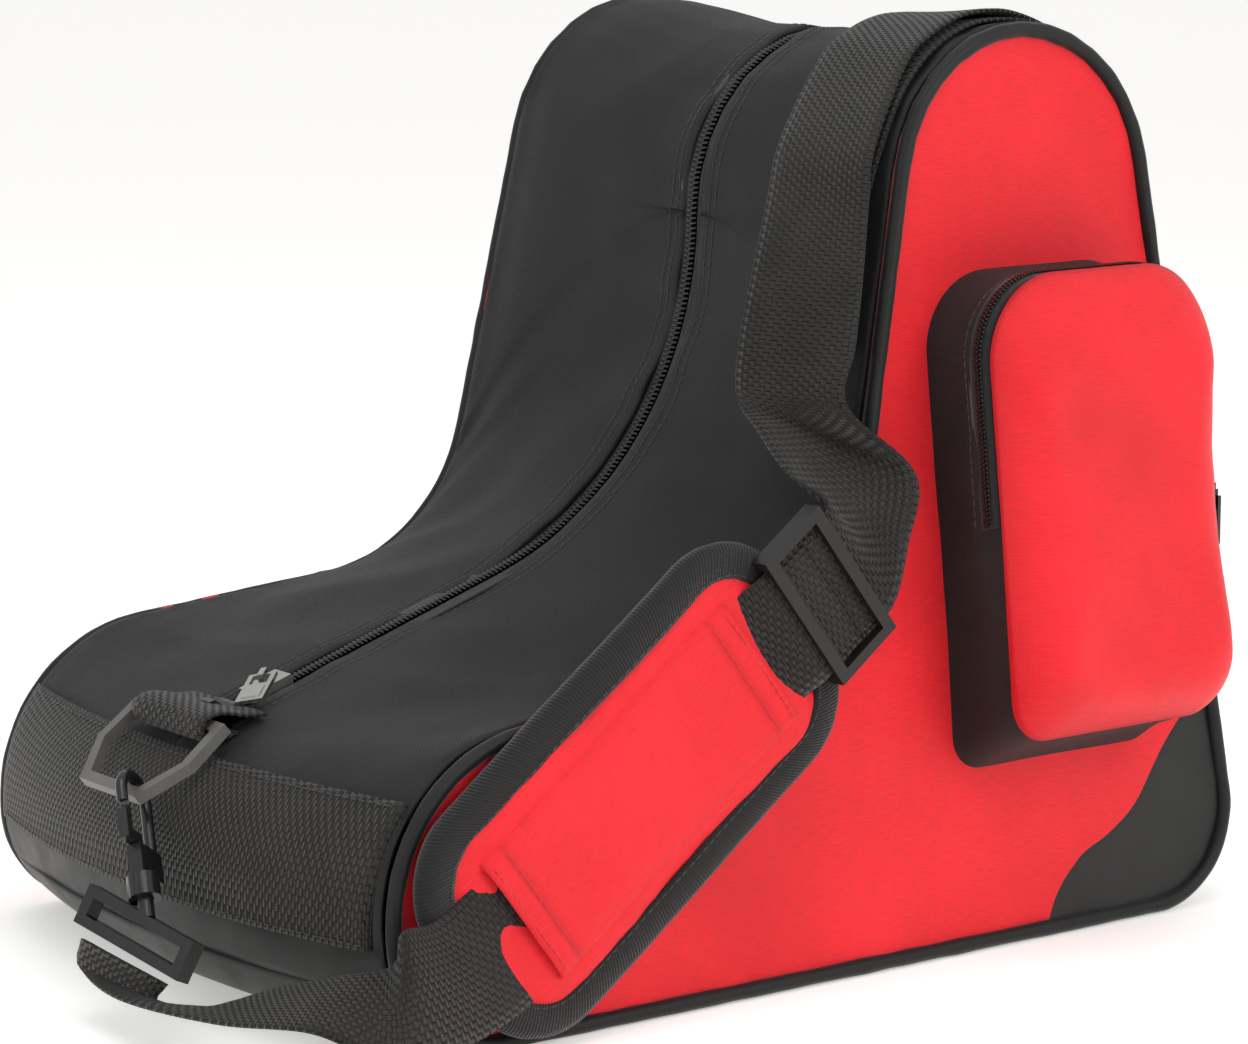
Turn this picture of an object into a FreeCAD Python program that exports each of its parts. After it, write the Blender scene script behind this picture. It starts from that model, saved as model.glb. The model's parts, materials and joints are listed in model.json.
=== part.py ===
import FreeCAD, Part
import math
import os

from FreeCAD import Rotation, Placement, Vector

# A boot-shaped skate bag. Millimetres, +Z up, heel towards +X, pocket side towards -Y.
# The origin is on the floor, on the bag's middle plane.

# ---- driving sizes: whole bag ----
TOE_REACH = 205.0          # side panel, origin to toe
HEEL_REACH = 215.0         # side panel, origin to heel, at the base
HEIGHT = 354.0             # top of the side panels
BASE_WIDTH = 272.0         # over the side panels at the base
PANEL_LEAN = 3.18          # degrees that each side panel leans inwards
TOE_HEIGHT = 109.9         # where the instep line meets the toe line
SHAFT_DEPTH = 207.7        # ankle corner to the heel line's foot
INSTEP_SLOPE = 0.08
SHAFT_FRONT_SLOPE = 0.20
BACK_SLOPE = 0.155
TOE_BOTTOM_R = 45.0
TOE_TOP_R = 66.0
ANKLE_R = 70.0
HEEL_R = 40.0

# ---- driving sizes: middle of the gusset, where it bulges between the seams ----
TOE_BULGE = 20.0
BACK_BULGE = 8.0
TOE_DROP = 21.4            # middle toe corner under the seam's toe corner
SHAFT_HOLLOW = 33.7        # middle ankle corner behind the seam's ankle corner
MIDDLE_INSTEP_SLOPE = 0.33
MIDDLE_TOE_TOP_R = 45.0
MIDDLE_ANKLE_R = 140.0
MIDDLE_SAG = 9.0           # middle of the top under the seams' top

# ---- driving sizes: cloth and trim ----
WALL = 3.5                 # padded nylon
PIPING_R = 3.0
BASE_SETTLE = 0.2          # how far the cloth under the base is pressed flat
BASE_TURN_UP = 25.0        # base panel's edge above the floor
TOE_SEAM_Z = 92.0          # top edge of the toe panel
TOE_SEAM_X = -100.0        # the toe panel ends before this
WEBBING = 50.0             # webbing width
WEBBING_THICK = 2.0
BAND_LOW = 42.0            # toe band, lower edge
BAND_END_GAP = 4.0         # toe band's end to the side panel
PATCH_THICK = 1.5
BOARD_THICK = 3.0
BOARD_GAP = 0.5
BOARD_MARGIN = 44.0

# ---- driving sizes: main zip ----
ZIP_START_X = -192.0
ZIP_END_Z = 150.0          # lower end of the zip on the back
TAPE_HALF = 16.0
COIL_HALF = 3.2
COIL_ABOVE = 1.2
COIL_BELOW = 1.6
TAPE_THICK = 1.6
SLIDER_LENGTH = 17.0
SLIDER_HALF = 5.6
SLIDER_TOP = 4.4
SLIDER_GAP = 0.4
LUG_HALF = 1.2
LUG_RISE = 4.2
LUG_WALL = 0.9
LUG_LENGTH = 6.2
SLIDER_ALONG = 62.0        # main slider, along the instep from the middle toe corner
SLIDER_SPACING = 25.0
MAIN_PULL_SWING = 40.0     # degrees towards the pocket side
MAIN_PULL_DROOP = 2.0
END_PULL_SWING = 90.0
END_PULL_DROOP = 10.0
PULL_LENGTH = 21.0
PULL_WIDTH = 11.0
END_PULL_WIDTH = 8.6
PULL_THICK = 1.6
PULL_BAR_R = 0.8
PULL_GRIP = 0.35
PULL_PLAY = 0.35

# ---- driving sizes: pocket ----
POCKET_LEFT = 46.0
POCKET_WIDTH = 122.0
POCKET_LOW = 69.0
POCKET_HIGH = 262.0
POCKET_DEPTH = 38.0
POCKET_BULGE = 13.0
POCKET_TOP_R = 30.0
POCKET_BOTTOM_R = 14.0
POCKET_FOOT_RISE = 18.0    # front's lower edge above the base's lower edge
POCKET_WALL = 2.5
POCKET_ZIP_OFF = 31.0      # middle of the pocket zip, off the side panel
POCKET_ZIP_LOW = 160.0
POCKET_TAPE_HALF = 6.0
POCKET_COIL_HALF = 2.2
POCKET_COIL_ABOVE = 1.0
POCKET_SHRINK = 2.0
POCKET_TAPER = 10.0
POCKET_SLIDER_LENGTH = 12.0
POCKET_SLIDER_HALF = 4.2
POCKET_SLIDER_START = 8.0
POCKET_PULL_LENGTH = 18.0
POCKET_PULL_WIDTH = 8.4

# ---- driving sizes: rings, hooks and strap ----
RING_BAR = 4.4
RING_INNER = 53.0
RING_DEPTH = 36.0
RING_TIP = 34.0            # inside length of the ring's outer bar
RING_CORNER = 0.45         # share of the depth where the arms turn in
LOOP_THICK = 1.8
LOOP_GAP = 0.9
LOOP_TAIL = 9.0
HOOK_EYE_R = 9.0
HOOK_BAR_R = 2.2
HOOK_LENGTH = 44.0
GATE_PIVOT_Y = 2.5
GATE_PIVOT_RISE = 2.0
GATE_REACH = 13.2          # gate's free end, from its pivot
POST_R = 3.0
POST_GAP = 0.3
POST_NECK = 5.6
BASE_FRAME = 5.0
BASE_WINDOW = 7.0
BASE_BAR = 4.0
BASE_DEPTH = 6.0

# ---- driving sizes: shoulder pad and strap adjuster ----
PAD_X = -103.0
PAD_Z = 88.0
PAD_ANGLE = 36.0
PAD_LENGTH = 196.0
PAD_WIDTH = 98.0
PAD_CORNER_R = 34.0
PAD_THICK = 7.0
PAD_OFF = 7.5              # pad's back, off the side panel
BINDING = 12.0
SLEEVE_LENGTH = 136.0
SLEEVE_WIDTH = 60.0
SLEEVE_WALL = 1.8
SLEEVE_GAP = 0.7
STRAP_OFF = PAD_OFF + PAD_THICK + 1.0 + SLEEVE_GAP
GLIDE_ALONG = 104.0        # pad's middle to the adjuster's middle
GLIDE_LIFT = 4.0
GLIDE_LENGTH = 32.0
GLIDE_BAR = 5.0
GLIDE_THICK = 2.6
RIBBON_STEPS = 2

FAR = 1000.0
PULL_PIVOT = SLIDER_TOP + LUG_RISE - LUG_WALL - PULL_BAR_R - PULL_PLAY
FLOOR_LIFT = WALL * math.sin(math.radians(PANEL_LEAN))

FRONT_RING = Vector(-TOE_REACH, 0, TOE_HEIGHT - 7)
FRONT_RING_WAY = Vector(-0.79, 0, -0.613)
FRONT_LOOP_WAY = Vector(-0.95, 0, -0.30)
FRONT_HOOK_Y = -14.0
FRONT_BASE = Vector(-TOE_REACH - 43, -48, 36)
FRONT_HOOK_FLAT = Vector(-0.42, 0.9, 0.0)
FRONT_BAR_WAY = Vector(-0.1, 0.98, 0.16)
REAR_RING_Z = ZIP_END_Z - 14
REAR_RING = Vector(HEEL_REACH + BACK_BULGE - BACK_SLOPE * REAR_RING_Z + 9.0, 0, REAR_RING_Z)
REAR_RING_WAY = Vector(0.1, 0, 0.995)
REAR_LOOP_WAY = Vector(-0.18, 0, 0.98)
REAR_BASE = Vector(HEEL_REACH + 6, -16, ZIP_END_Z + 90)
REAR_HOOK_FLAT = Vector(0, 1, 0)
REAR_BAR_WAY = Vector(0, 1, 0.1)
STRAP_TOP_Y = -112.0
STRAP_LIFT = 7.0
JOIN_GAP = 0.2
FRONT_EYE = FRONT_RING + FRONT_RING_WAY * RING_DEPTH + Vector(-0.5, FRONT_HOOK_Y - 1.0, -1.5)
REAR_EYE = REAR_RING + REAR_RING_WAY * RING_DEPTH + Vector(0, 0, 1.5)


# ---- outlines ----

def crossing(p, d, q, e):
    """Where the line p + t d meets the line q + s e, in the XZ plane."""
    cross = d[0] * e[1] - d[1] * e[0]
    t = ((q[0] - p[0]) * e[1] - (q[1] - p[1]) * e[0]) / cross
    return (p[0] + t * d[0], p[1] + t * d[1])


def unit(a, b):
    length = math.hypot(b[0] - a[0], b[1] - a[1])
    return ((b[0] - a[0]) / length, (b[1] - a[1]) / length)


def moved_in(corners, inset):
    """The same outline with every side moved in by inset; corners run anticlockwise."""
    sides = []
    for i, a in enumerate(corners):
        b = corners[(i + 1) % len(corners)]
        d = unit(a, b)
        sides.append(((a[0] - d[1] * inset, a[1] + d[0] * inset), d))
    return [crossing(*sides[i - 1], *sides[i]) for i in range(len(corners))]


def rounded(corners, radii, inset=0.0, y=0.0):
    """A closed wire of straight sides and tangent arcs at depth y."""
    points = moved_in(corners, inset)
    stations = []
    for i, p in enumerate(points):
        d1 = unit(points[i - 1], p)
        d2 = unit(p, points[(i + 1) % len(points)])
        turn = math.atan2(d1[0] * d2[1] - d1[1] * d2[0], d1[0] * d2[0] + d1[1] * d2[1])
        side = 1.0 if turn > 0 else -1.0
        r = radii[i] - side * inset
        reach = r * math.tan(abs(turn) / 2)
        start = (p[0] - d1[0] * reach, p[1] - d1[1] * reach)
        end = (p[0] + d2[0] * reach, p[1] + d2[1] * reach)
        centre = (start[0] - d1[1] * r * side, start[1] + d1[0] * r * side)
        out = unit(centre, p)
        middle = (centre[0] + out[0] * r, centre[1] + out[1] * r)
        stations.append((start, middle, end))
    edges = []
    for i, (start, middle, end) in enumerate(stations):
        before = stations[i - 1][2]
        edges.append(Part.makeLine(at(before, y), at(start, y)))
        edges.append(Part.Arc(at(start, y), at(middle, y), at(end, y)).toShape())
    return Part.Wire(edges)


def at(p, y=0.0):
    return Vector(p[0], y, p[1])


def dome(front_x, front_slope, back_x, back_slope, top):
    """Apex corner and radius of the round top between the shaft's front and back lines."""
    fs = math.hypot(1.0, front_slope)
    bs = math.hypot(1.0, back_slope)
    r = (back_x - front_x - (front_slope + back_slope) * top) / (fs + bs - front_slope - back_slope)
    apex = crossing((front_x, 0.0), (front_slope, 1.0), (back_x, 0.0), (-back_slope, 1.0))
    return apex, r


ANKLE_X = HEEL_REACH - SHAFT_DEPTH
ANKLE_Z = TOE_HEIGHT + INSTEP_SLOPE * (ANKLE_X + TOE_REACH)
SEAM_FRONT_X = ANKLE_X - SHAFT_FRONT_SLOPE * ANKLE_Z
SEAM_APEX, SEAM_TOP_R = dome(SEAM_FRONT_X, SHAFT_FRONT_SLOPE, HEEL_REACH, BACK_SLOPE, HEIGHT)
SEAM = [(-TOE_REACH, 0.0), (HEEL_REACH, 0.0), SEAM_APEX, (ANKLE_X, ANKLE_Z), (-TOE_REACH, TOE_HEIGHT)]
SEAM_RADII = [TOE_BOTTOM_R, HEEL_R, SEAM_TOP_R, ANKLE_R, TOE_TOP_R]

MID_TOE_X = -TOE_REACH - TOE_BULGE
MID_TOE_Z = TOE_HEIGHT - TOE_DROP
MID_FRONT_X = ANKLE_X + SHAFT_HOLLOW
MID_ANKLE_Z = MID_TOE_Z + MIDDLE_INSTEP_SLOPE * (MID_FRONT_X - MID_TOE_X)
MID_HEEL_X = HEEL_REACH + BACK_BULGE
MID_TOP_Z = HEIGHT - MIDDLE_SAG
MID_APEX, MID_TOP_R = dome(MID_FRONT_X, 0.0, MID_HEEL_X, BACK_SLOPE, MID_TOP_Z)
MIDDLE = [(MID_TOE_X, 0.0), (MID_HEEL_X, 0.0), MID_APEX, (MID_FRONT_X, MID_ANKLE_Z), (MID_TOE_X, MID_TOE_Z)]
MIDDLE_RADII = [TOE_BOTTOM_R, HEEL_R, MID_TOP_R, MIDDLE_ANKLE_R, MIDDLE_TOE_TOP_R]


# ---- placing ----

def near(shape):
    """From a side panel's own plane (outside at y=0, outwards -Y) to the pocket side of the bag."""
    moved = shape.copy()
    moved.rotate(Vector(0, 0, 0), Vector(1, 0, 0), -PANEL_LEAN)
    moved.translate(Vector(0, -BASE_WIDTH / 2, FLOOR_LIFT))
    return moved


def mirrored(shape):
    return shape.mirror(Vector(0, 0, 0), Vector(0, 1, 0))


def panel_point(x, z, off):
    """The point at x, height z up the near side panel, off millimetres outside it."""
    lean = math.radians(PANEL_LEAN)
    y = -BASE_WIDTH / 2 + z * math.sin(lean) - off * math.cos(lean)
    return Vector(x, y, z * math.cos(lean) + off * math.sin(lean) + FLOOR_LIFT)


def box(x0, x1, y0, y1, z0, z1):
    return Part.makeBox(x1 - x0, y1 - y0, z1 - z0, Vector(x0, y0, z0))


def plate(wire, thick):
    """A wire in an XZ plane, filled and given thickness towards +Y."""
    return Part.Face(wire).extrude(Vector(0, thick, 0))


def frame_at(origin, along, across):
    """Placement whose X runs along, Y runs across and Z is out of the two."""
    x = Vector(along).normalize()
    z = x.cross(Vector(across)).normalize()
    y = z.cross(x)
    return Placement(origin, Rotation(x, y, z, "ZXY"))


def placed(shape, placement):
    moved = shape.copy()
    moved.Placement = placement.multiply(moved.Placement)
    return moved


def save(name, shape):
    os.makedirs("parts", exist_ok=True)
    shape.exportStep("parts/" + name + ".step")


# ---- the shell ----

def shell_body(inset):
    """The closed solid between the side panels' inner faces, inset from the gusset's outside."""
    near_end = near(rounded(SEAM, SEAM_RADII, inset, WALL))
    middle = rounded(MIDDLE, MIDDLE_RADII, inset)
    far_end = mirrored(near_end)
    body = Part.makeLoft([near_end, middle, far_end], True, False)
    body.translate(Vector(0, 0, -BASE_SETTLE))
    return body


def middle_ring(outer_inset, inner_inset, y0, y1):
    """A band that follows the gusset's middle line from y0 to y1."""
    outer = plate(rounded(MIDDLE, MIDDLE_RADII, outer_inset, y0), y1 - y0)
    inner = plate(rounded(MIDDLE, MIDDLE_RADII, inner_inset, y0), y1 - y0)
    return outer.cut(inner)


def zip_reach():
    """Everything between the zip's two ends."""
    split_x = TOE_SEAM_X / 4
    front = box(ZIP_START_X, split_x, -FAR, FAR, BASE_TURN_UP + WALL, FAR)
    back = box(split_x, FAR, -FAR, FAR, ZIP_END_Z, FAR)
    middle = box(split_x, (ANKLE_X + HEEL_REACH) / 2, -FAR, FAR, BASE_TURN_UP + WALL, ZIP_END_Z)
    return front.fuse(back).fuse(middle)


def upper_reach():
    """Everything above the toe panel and the back panel."""
    front = box(-FAR, TOE_SEAM_X, -FAR, FAR, TOE_SEAM_Z, FAR)
    middle = box(TOE_SEAM_X, (ANKLE_X + HEEL_REACH) / 2, -FAR, FAR, BASE_TURN_UP + WALL, FAR)
    back = box((ANKLE_X + HEEL_REACH) / 2, FAR, -FAR, FAR, ZIP_END_Z, FAR)
    return front.fuse(middle).fuse(back)


def build_shell():
    above_floor = box(-FAR, FAR, -FAR, FAR, 0, FAR)
    outside = shell_body(0.0).common(above_floor)
    cloth = outside.cut(shell_body(WALL))
    reach = zip_reach()
    slot = reach.common(box(-FAR, FAR, -TAPE_HALF, TAPE_HALF, 0, FAR))
    upper = cloth.common(upper_reach()).cut(slot)
    save("gusset_near", upper.common(box(-FAR, FAR, -FAR, 0, 0, FAR)))
    save("gusset_far", upper.common(box(-FAR, FAR, 0, FAR, 0, FAR)))
    save("base_panel", cloth.common(box(-FAR, FAR, -FAR, FAR, -1, BASE_TURN_UP)))
    save("toe_panel", cloth.common(box(-FAR, TOE_SEAM_X, -FAR, FAR, BASE_TURN_UP, TOE_SEAM_Z)))
    save("back_panel", cloth.common(box((ANKLE_X + HEEL_REACH) / 2, FAR, -FAR, FAR, BASE_TURN_UP, ZIP_END_Z)))

    band_half = BASE_WIDTH / 2 - WALL - BAND_END_GAP
    band_room = box(-FAR, TOE_SEAM_X, -band_half, band_half, BAND_LOW, BAND_LOW + WEBBING)
    save("toe_webbing_band", shell_body(-WEBBING_THICK).cut(outside).common(band_room))

    panel = near(plate(rounded(SEAM, SEAM_RADII), WALL))
    save("side_panel_near", panel)
    save("side_panel_far", mirrored(panel))

    board_y = BASE_WIDTH / 2 - WALL - BOARD_MARGIN / 2
    board = box(-TOE_REACH + BOARD_MARGIN, HEEL_REACH - BOARD_MARGIN, -board_y, board_y,
                WALL + BOARD_GAP, WALL + BOARD_GAP + BOARD_THICK)
    save("base_board", board)
    return reach


def build_piping():
    path = rounded(SEAM, SEAM_RADII, PIPING_R, -PIPING_R)
    start = path.Edges[0].valueAt(path.Edges[0].FirstParameter)
    way = path.Edges[0].tangentAt(path.Edges[0].FirstParameter)
    ring = Part.Wire([Part.makeCircle(PIPING_R, start, way)])
    cord = near(path.makePipeShell([ring], True, True))
    save("piping_near", cord)
    save("piping_far", mirrored(cord))


def build_heel_patch():
    """A vinyl patch on the heel corner of each side panel, with an S-shaped front edge."""
    edges = [
        Part.Arc(at((HEEL_REACH + 25, 96)), at((HEEL_REACH - 41, 72)), at((HEEL_REACH - 66, 42))).toShape(),
        Part.Arc(at((HEEL_REACH - 66, 42)), at((HEEL_REACH - 94, 28)), at((HEEL_REACH - 107, -5))).toShape(),
        Part.makeLine(at((HEEL_REACH - 107, -5)), at((HEEL_REACH + 25, -5))),
        Part.makeLine(at((HEEL_REACH + 25, -5)), at((HEEL_REACH + 25, 96))),
    ]
    corner = plate(Part.Wire(edges), -PATCH_THICK)
    inside = plate(rounded(SEAM, SEAM_RADII, 2 * PIPING_R), -PATCH_THICK)
    patch = near(corner.common(inside))
    save("heel_patch_near", patch)
    save("heel_patch_far", mirrored(patch))


# ---- zip ----

def build_zip(reach):
    save("zip_tape_near", middle_ring(0, TAPE_THICK, -TAPE_HALF, -COIL_HALF).common(reach))
    save("zip_tape_far", middle_ring(0, TAPE_THICK, COIL_HALF, TAPE_HALF).common(reach))
    save("zip_coil_near", middle_ring(-COIL_ABOVE, COIL_BELOW, -COIL_HALF, 0).common(reach))
    save("zip_coil_far", middle_ring(-COIL_ABOVE, COIL_BELOW, 0, COIL_HALF).common(reach))


def slider(length, half, coil_half, coil_above, lug_turn=0.0):
    """A zip slider: a saddle over the coils with a lug on top. X is along the zip, Z is outwards."""
    body = box(-length / 2, length / 2, -half, half, SLIDER_GAP, SLIDER_TOP)
    room = coil_half + SLIDER_GAP
    channel = box(-length, length, -room, room, -1, coil_above + SLIDER_GAP)
    lug_half = LUG_LENGTH / 2
    lug = box(-lug_half, lug_half, -LUG_HALF, LUG_HALF, SLIDER_TOP, SLIDER_TOP + LUG_RISE)
    window_half = lug_half - LUG_WALL
    window = box(-window_half, window_half, -FAR, FAR, SLIDER_TOP, SLIDER_TOP + LUG_RISE - LUG_WALL)
    lug = lug.cut(window)
    lug.rotate(Vector(0, 0, 0), Vector(0, 0, 1), lug_turn)
    return body.cut(channel).fuse(lug)


def pull(length, width):
    """A pull tab: its bar is on the origin across Y, and the tab runs towards +X."""
    inner = width / 2 - 1.9
    frame = box(-PULL_BAR_R, length, -width / 2, width / 2, -PULL_THICK / 2, PULL_THICK / 2)
    eye = box(PULL_BAR_R, 7.5, -inner, inner, -PULL_THICK, PULL_THICK)
    grip = box(10.0, length - 2.5, -inner, inner, -PULL_THICK / 2 - PULL_GRIP, PULL_THICK / 2 + PULL_GRIP)
    return frame.cut(eye).fuse(grip).removeSplitter()


def middle_instep(along):
    """Point on the middle instep line, along it from the toe corner, and the line's direction."""
    d = unit((MID_TOE_X, MID_TOE_Z), (MID_FRONT_X, MID_ANKLE_Z))
    return Vector(MID_TOE_X + d[0] * along, 0, MID_TOE_Z + d[1] * along), Vector(d[0], 0, d[1])


def build_sliders():
    first, way = middle_instep(SLIDER_ALONG)
    second, _ = middle_instep(SLIDER_ALONG - SLIDER_SPACING)
    out = Vector(-way.z, 0, way.x)
    across = Vector(0, 1, 0)
    for name, spot, swing, droop, width in (("zip", first, MAIN_PULL_SWING, MAIN_PULL_DROOP, PULL_WIDTH),
                                            ("end", second, END_PULL_SWING, END_PULL_DROOP, END_PULL_WIDTH)):
        saddle = slider(SLIDER_LENGTH, SLIDER_HALF, COIL_HALF, COIL_ABOVE, swing)
        save(name + "_slider", placed(saddle, frame_at(spot, way, across)))
        turned = Rotation(out, swing)
        bar = turned.multVec(across)
        tab = Rotation(bar, -droop).multVec(turned.multVec(-way))
        save(name + "_pull", placed(pull(PULL_LENGTH, width), frame_at(spot + out * PULL_PIVOT, tab, -bar)))


# ---- pocket ----

def pocket_corners(grow_low, shrink):
    left = POCKET_LEFT + shrink
    right = POCKET_LEFT + POCKET_WIDTH - shrink
    low = POCKET_LOW + grow_low
    high = POCKET_HIGH - shrink
    return [(left + POCKET_TAPER, low), (right - POCKET_TAPER, low), (right, high), (left, high)]


def pocket_wire(off, grow_low, shrink, inset):
    corners = pocket_corners(grow_low, shrink)
    radii = [POCKET_BOTTOM_R, POCKET_BOTTOM_R, POCKET_TOP_R, POCKET_TOP_R]
    return rounded(corners, radii, inset, -off)


def pocket_body(inset):
    wires = [pocket_wire(0, 0, 0, inset), pocket_wire(POCKET_DEPTH, POCKET_FOOT_RISE, POCKET_SHRINK, inset)]
    return Part.makeLoft(wires, True, True)


def pocket_front_body(back, inset, bulge):
    wires = [
        pocket_wire(back, POCKET_FOOT_RISE, POCKET_SHRINK, inset),
        pocket_wire(POCKET_DEPTH + bulge * 0.65, POCKET_FOOT_RISE, POCKET_SHRINK, inset + 5.0),
        pocket_wire(POCKET_DEPTH + bulge, POCKET_FOOT_RISE, POCKET_SHRINK, inset + 12.0),
    ]
    return Part.makeLoft(wires, True, True)


def build_pocket():
    side = pocket_body(0).cut(pocket_body(POCKET_WALL))
    zip_room = box(-FAR, FAR, -POCKET_ZIP_OFF - POCKET_TAPE_HALF, -POCKET_ZIP_OFF + POCKET_TAPE_HALF,
                   POCKET_ZIP_LOW, FAR)
    coil_room = box(-FAR, FAR, -POCKET_ZIP_OFF - POCKET_COIL_HALF, -POCKET_ZIP_OFF + POCKET_COIL_HALF,
                    POCKET_ZIP_LOW, FAR)
    save("pocket_gusset", near(side.cut(zip_room)))
    save("pocket_zip_tape", near(side.common(zip_room.cut(coil_room))))
    coil = pocket_body(-POCKET_COIL_ABOVE).cut(pocket_body(TAPE_THICK))
    save("pocket_zip_coil", near(coil.common(coil_room)))

    front = pocket_front_body(POCKET_DEPTH, 0, POCKET_BULGE)
    hollow = pocket_front_body(POCKET_DEPTH, POCKET_WALL, POCKET_BULGE - POCKET_WALL)
    save("pocket_front", near(front.cut(hollow)))

    spot, along, out = pocket_slider_place()
    saddle = slider(POCKET_SLIDER_LENGTH, POCKET_SLIDER_HALF, POCKET_COIL_HALF, POCKET_COIL_ABOVE)
    save("pocket_slider", near(placed(saddle, frame_at(spot, along, out.cross(along)))))
    tab = pull(POCKET_PULL_LENGTH, POCKET_PULL_WIDTH)
    save("pocket_pull", near(placed(tab, frame_at(spot + out * PULL_PIVOT, -along, Vector(0, 1, 0)))))


def pocket_slider_place():
    """Where the pocket slider sits on the pocket's heel side, which way it runs and which way is out."""
    foot, top = pocket_side(0.0), pocket_side(1.0)
    along = (top - foot).normalize()
    out = Vector(along.z, 0, -along.x)
    rise = POCKET_ZIP_LOW + POCKET_SLIDER_START - foot.z
    return foot + along * (rise / along.z), along, out


def pocket_side(share):
    """A point on the heel side of the pocket's gusset at the zip's depth; 0 is its foot and 1 its top."""
    lower = pocket_corners(0.0, 0.0)
    upper = pocket_corners(POCKET_FOOT_RISE, POCKET_SHRINK)
    depth = POCKET_ZIP_OFF / POCKET_DEPTH
    foot = at(lower[1], 0.0) + (at(upper[1]) - at(lower[1])) * depth
    top = at(lower[2], 0.0) + (at(upper[2]) - at(lower[2])) * depth
    spot = foot + (top - foot) * share
    return Vector(spot.x, -POCKET_ZIP_OFF, spot.z)


# ---- rings and hooks ----

def ring_outline(grow):
    """The D-ring's hexagon in its own XY plane; X runs from the bar to the outer bar."""
    half = RING_INNER / 2 + grow
    tip = RING_TIP / 2 + grow * 0.6
    turn = RING_DEPTH * RING_CORNER
    points = [(-grow, -half), (turn, -half - 1.0), (RING_DEPTH - RING_BAR + grow, -tip),
              (RING_DEPTH - RING_BAR + grow, tip), (turn, half + 1.0), (-grow, half)]
    corners = [Vector(x, y, 0) for x, y in points]
    return Part.makePolygon(corners + corners[:1])


def ring_shape():
    """The hexagonal D-ring; its bar's middle is on the origin."""
    outer = Part.Face(ring_outline(RING_BAR)).extrude(Vector(0, 0, RING_BAR))
    inner = Part.Face(ring_outline(0.0)).extrude(Vector(0, 0, RING_BAR))
    ring = outer.cut(inner)
    ring.translate(Vector(RING_BAR / 2, 0, -RING_BAR / 2))
    return ring


def loop_shape():
    """A folded webbing loop round the ring's bar, sewn down at its tail. X runs from the tail to the ring."""
    inside = RING_BAR / 2 * math.sqrt(2) + LOOP_GAP
    outside = inside + LOOP_THICK
    half = WEBBING / 2
    turn = Part.makeCylinder(outside, WEBBING, Vector(0, -half, 0), Vector(0, 1, 0))
    tail = box(-LOOP_TAIL, 0, -half, half, -outside, -outside + 2 * LOOP_THICK)
    hole = Part.makeCylinder(inside, WEBBING, Vector(0, -half, 0), Vector(0, 1, 0))
    return turn.fuse(tail).cut(hole).removeSplitter()


def hook_shape():
    """Snap hook: a C with its mouth on +Y, a shank and a swivel collar. Its axis is Z, the eye at the top."""
    eye = Part.makeTorus(HOOK_EYE_R, HOOK_BAR_R, Vector(0, 0, 0), Vector(1, 0, 0))
    mouth = box(-FAR, FAR, 0, FAR, -HOOK_EYE_R * 0.9, 1.5)
    spine = Part.makeCylinder(HOOK_BAR_R, HOOK_LENGTH * 0.45, Vector(0, -HOOK_EYE_R, -HOOK_LENGTH * 0.45))
    toe = Part.makeCylinder(HOOK_BAR_R, 6.0, Vector(0, HOOK_EYE_R, -4.5))
    body = box(-HOOK_BAR_R - 0.6, HOOK_BAR_R + 0.6, -HOOK_EYE_R - HOOK_BAR_R, 4.5,
               -HOOK_LENGTH * 0.72, -HOOK_LENGTH * 0.45)
    collar = Part.makeCylinder(6.0, HOOK_LENGTH * 0.2, Vector(0, 0, -HOOK_LENGTH * 0.92))
    upper_eye = eye.cut(mouth).cut(box(-FAR, FAR, -FAR, FAR, -FAR, 0))
    whole = upper_eye.fuse(spine).fuse(toe).fuse(body).fuse(collar)
    well = Part.makeCylinder(POST_R + POST_GAP, HOOK_LENGTH * 0.15, Vector(0, 0, -HOOK_LENGTH * 0.92))
    return whole.cut(well).removeSplitter()


def gate_shape():
    """The sprung gate that closes the hook's mouth, from the hook's body up to its toe."""
    low = -HOOK_LENGTH * 0.45 + 0.4
    length = -4.5 - 0.6 - low
    bar = box(-1.9, 1.9, HOOK_EYE_R - 1.9, HOOK_EYE_R + 1.9, low, low + length)
    foot = box(-1.9, 1.9, GATE_PIVOT_Y, HOOK_EYE_R + 1.9, low, low + 2 * GATE_PIVOT_RISE)
    knuckle = Part.makeCylinder(GATE_PIVOT_RISE, 3.8, Vector(-1.9, GATE_PIVOT_Y, low + GATE_PIVOT_RISE), Vector(1, 0, 0))
    pivot = Vector(-FAR, GATE_PIVOT_Y, -HOOK_LENGTH * 0.45 + GATE_PIVOT_RISE)
    swing = Part.makeCylinder(GATE_REACH, 2 * FAR, pivot, Vector(1, 0, 0))
    return bar.fuse(foot).fuse(knuckle).common(swing).removeSplitter()


def hook_base_shape(axis_frame, bar_way):
    """The frame that the strap's end wraps round, with the post that the hook swivels on."""
    foot = axis_frame.multVec(Vector(0, 0, -HOOK_LENGTH * 0.92 - POST_GAP))
    post_top = axis_frame.multVec(Vector(0, 0, -HOOK_LENGTH * 0.80))
    window_frame = base_window(axis_frame, bar_way)
    half = WEBBING / 2 + 1.0
    frame = box(-BASE_WINDOW / 2 - BASE_BAR, BASE_WINDOW / 2 + BASE_BAR, -half - BASE_FRAME, half + BASE_FRAME,
                -BASE_DEPTH / 2, BASE_DEPTH / 2)
    window = box(-BASE_WINDOW / 2, BASE_WINDOW / 2, -half, half, -FAR, FAR)
    frame = placed(frame.cut(window), window_frame)
    lower = foot + (foot - post_top).normalize() * (POST_NECK + 2.0)
    post = Part.makeCylinder(POST_R, (post_top - lower).Length, lower, post_top - lower)
    return frame.fuse(post).removeSplitter()


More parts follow.
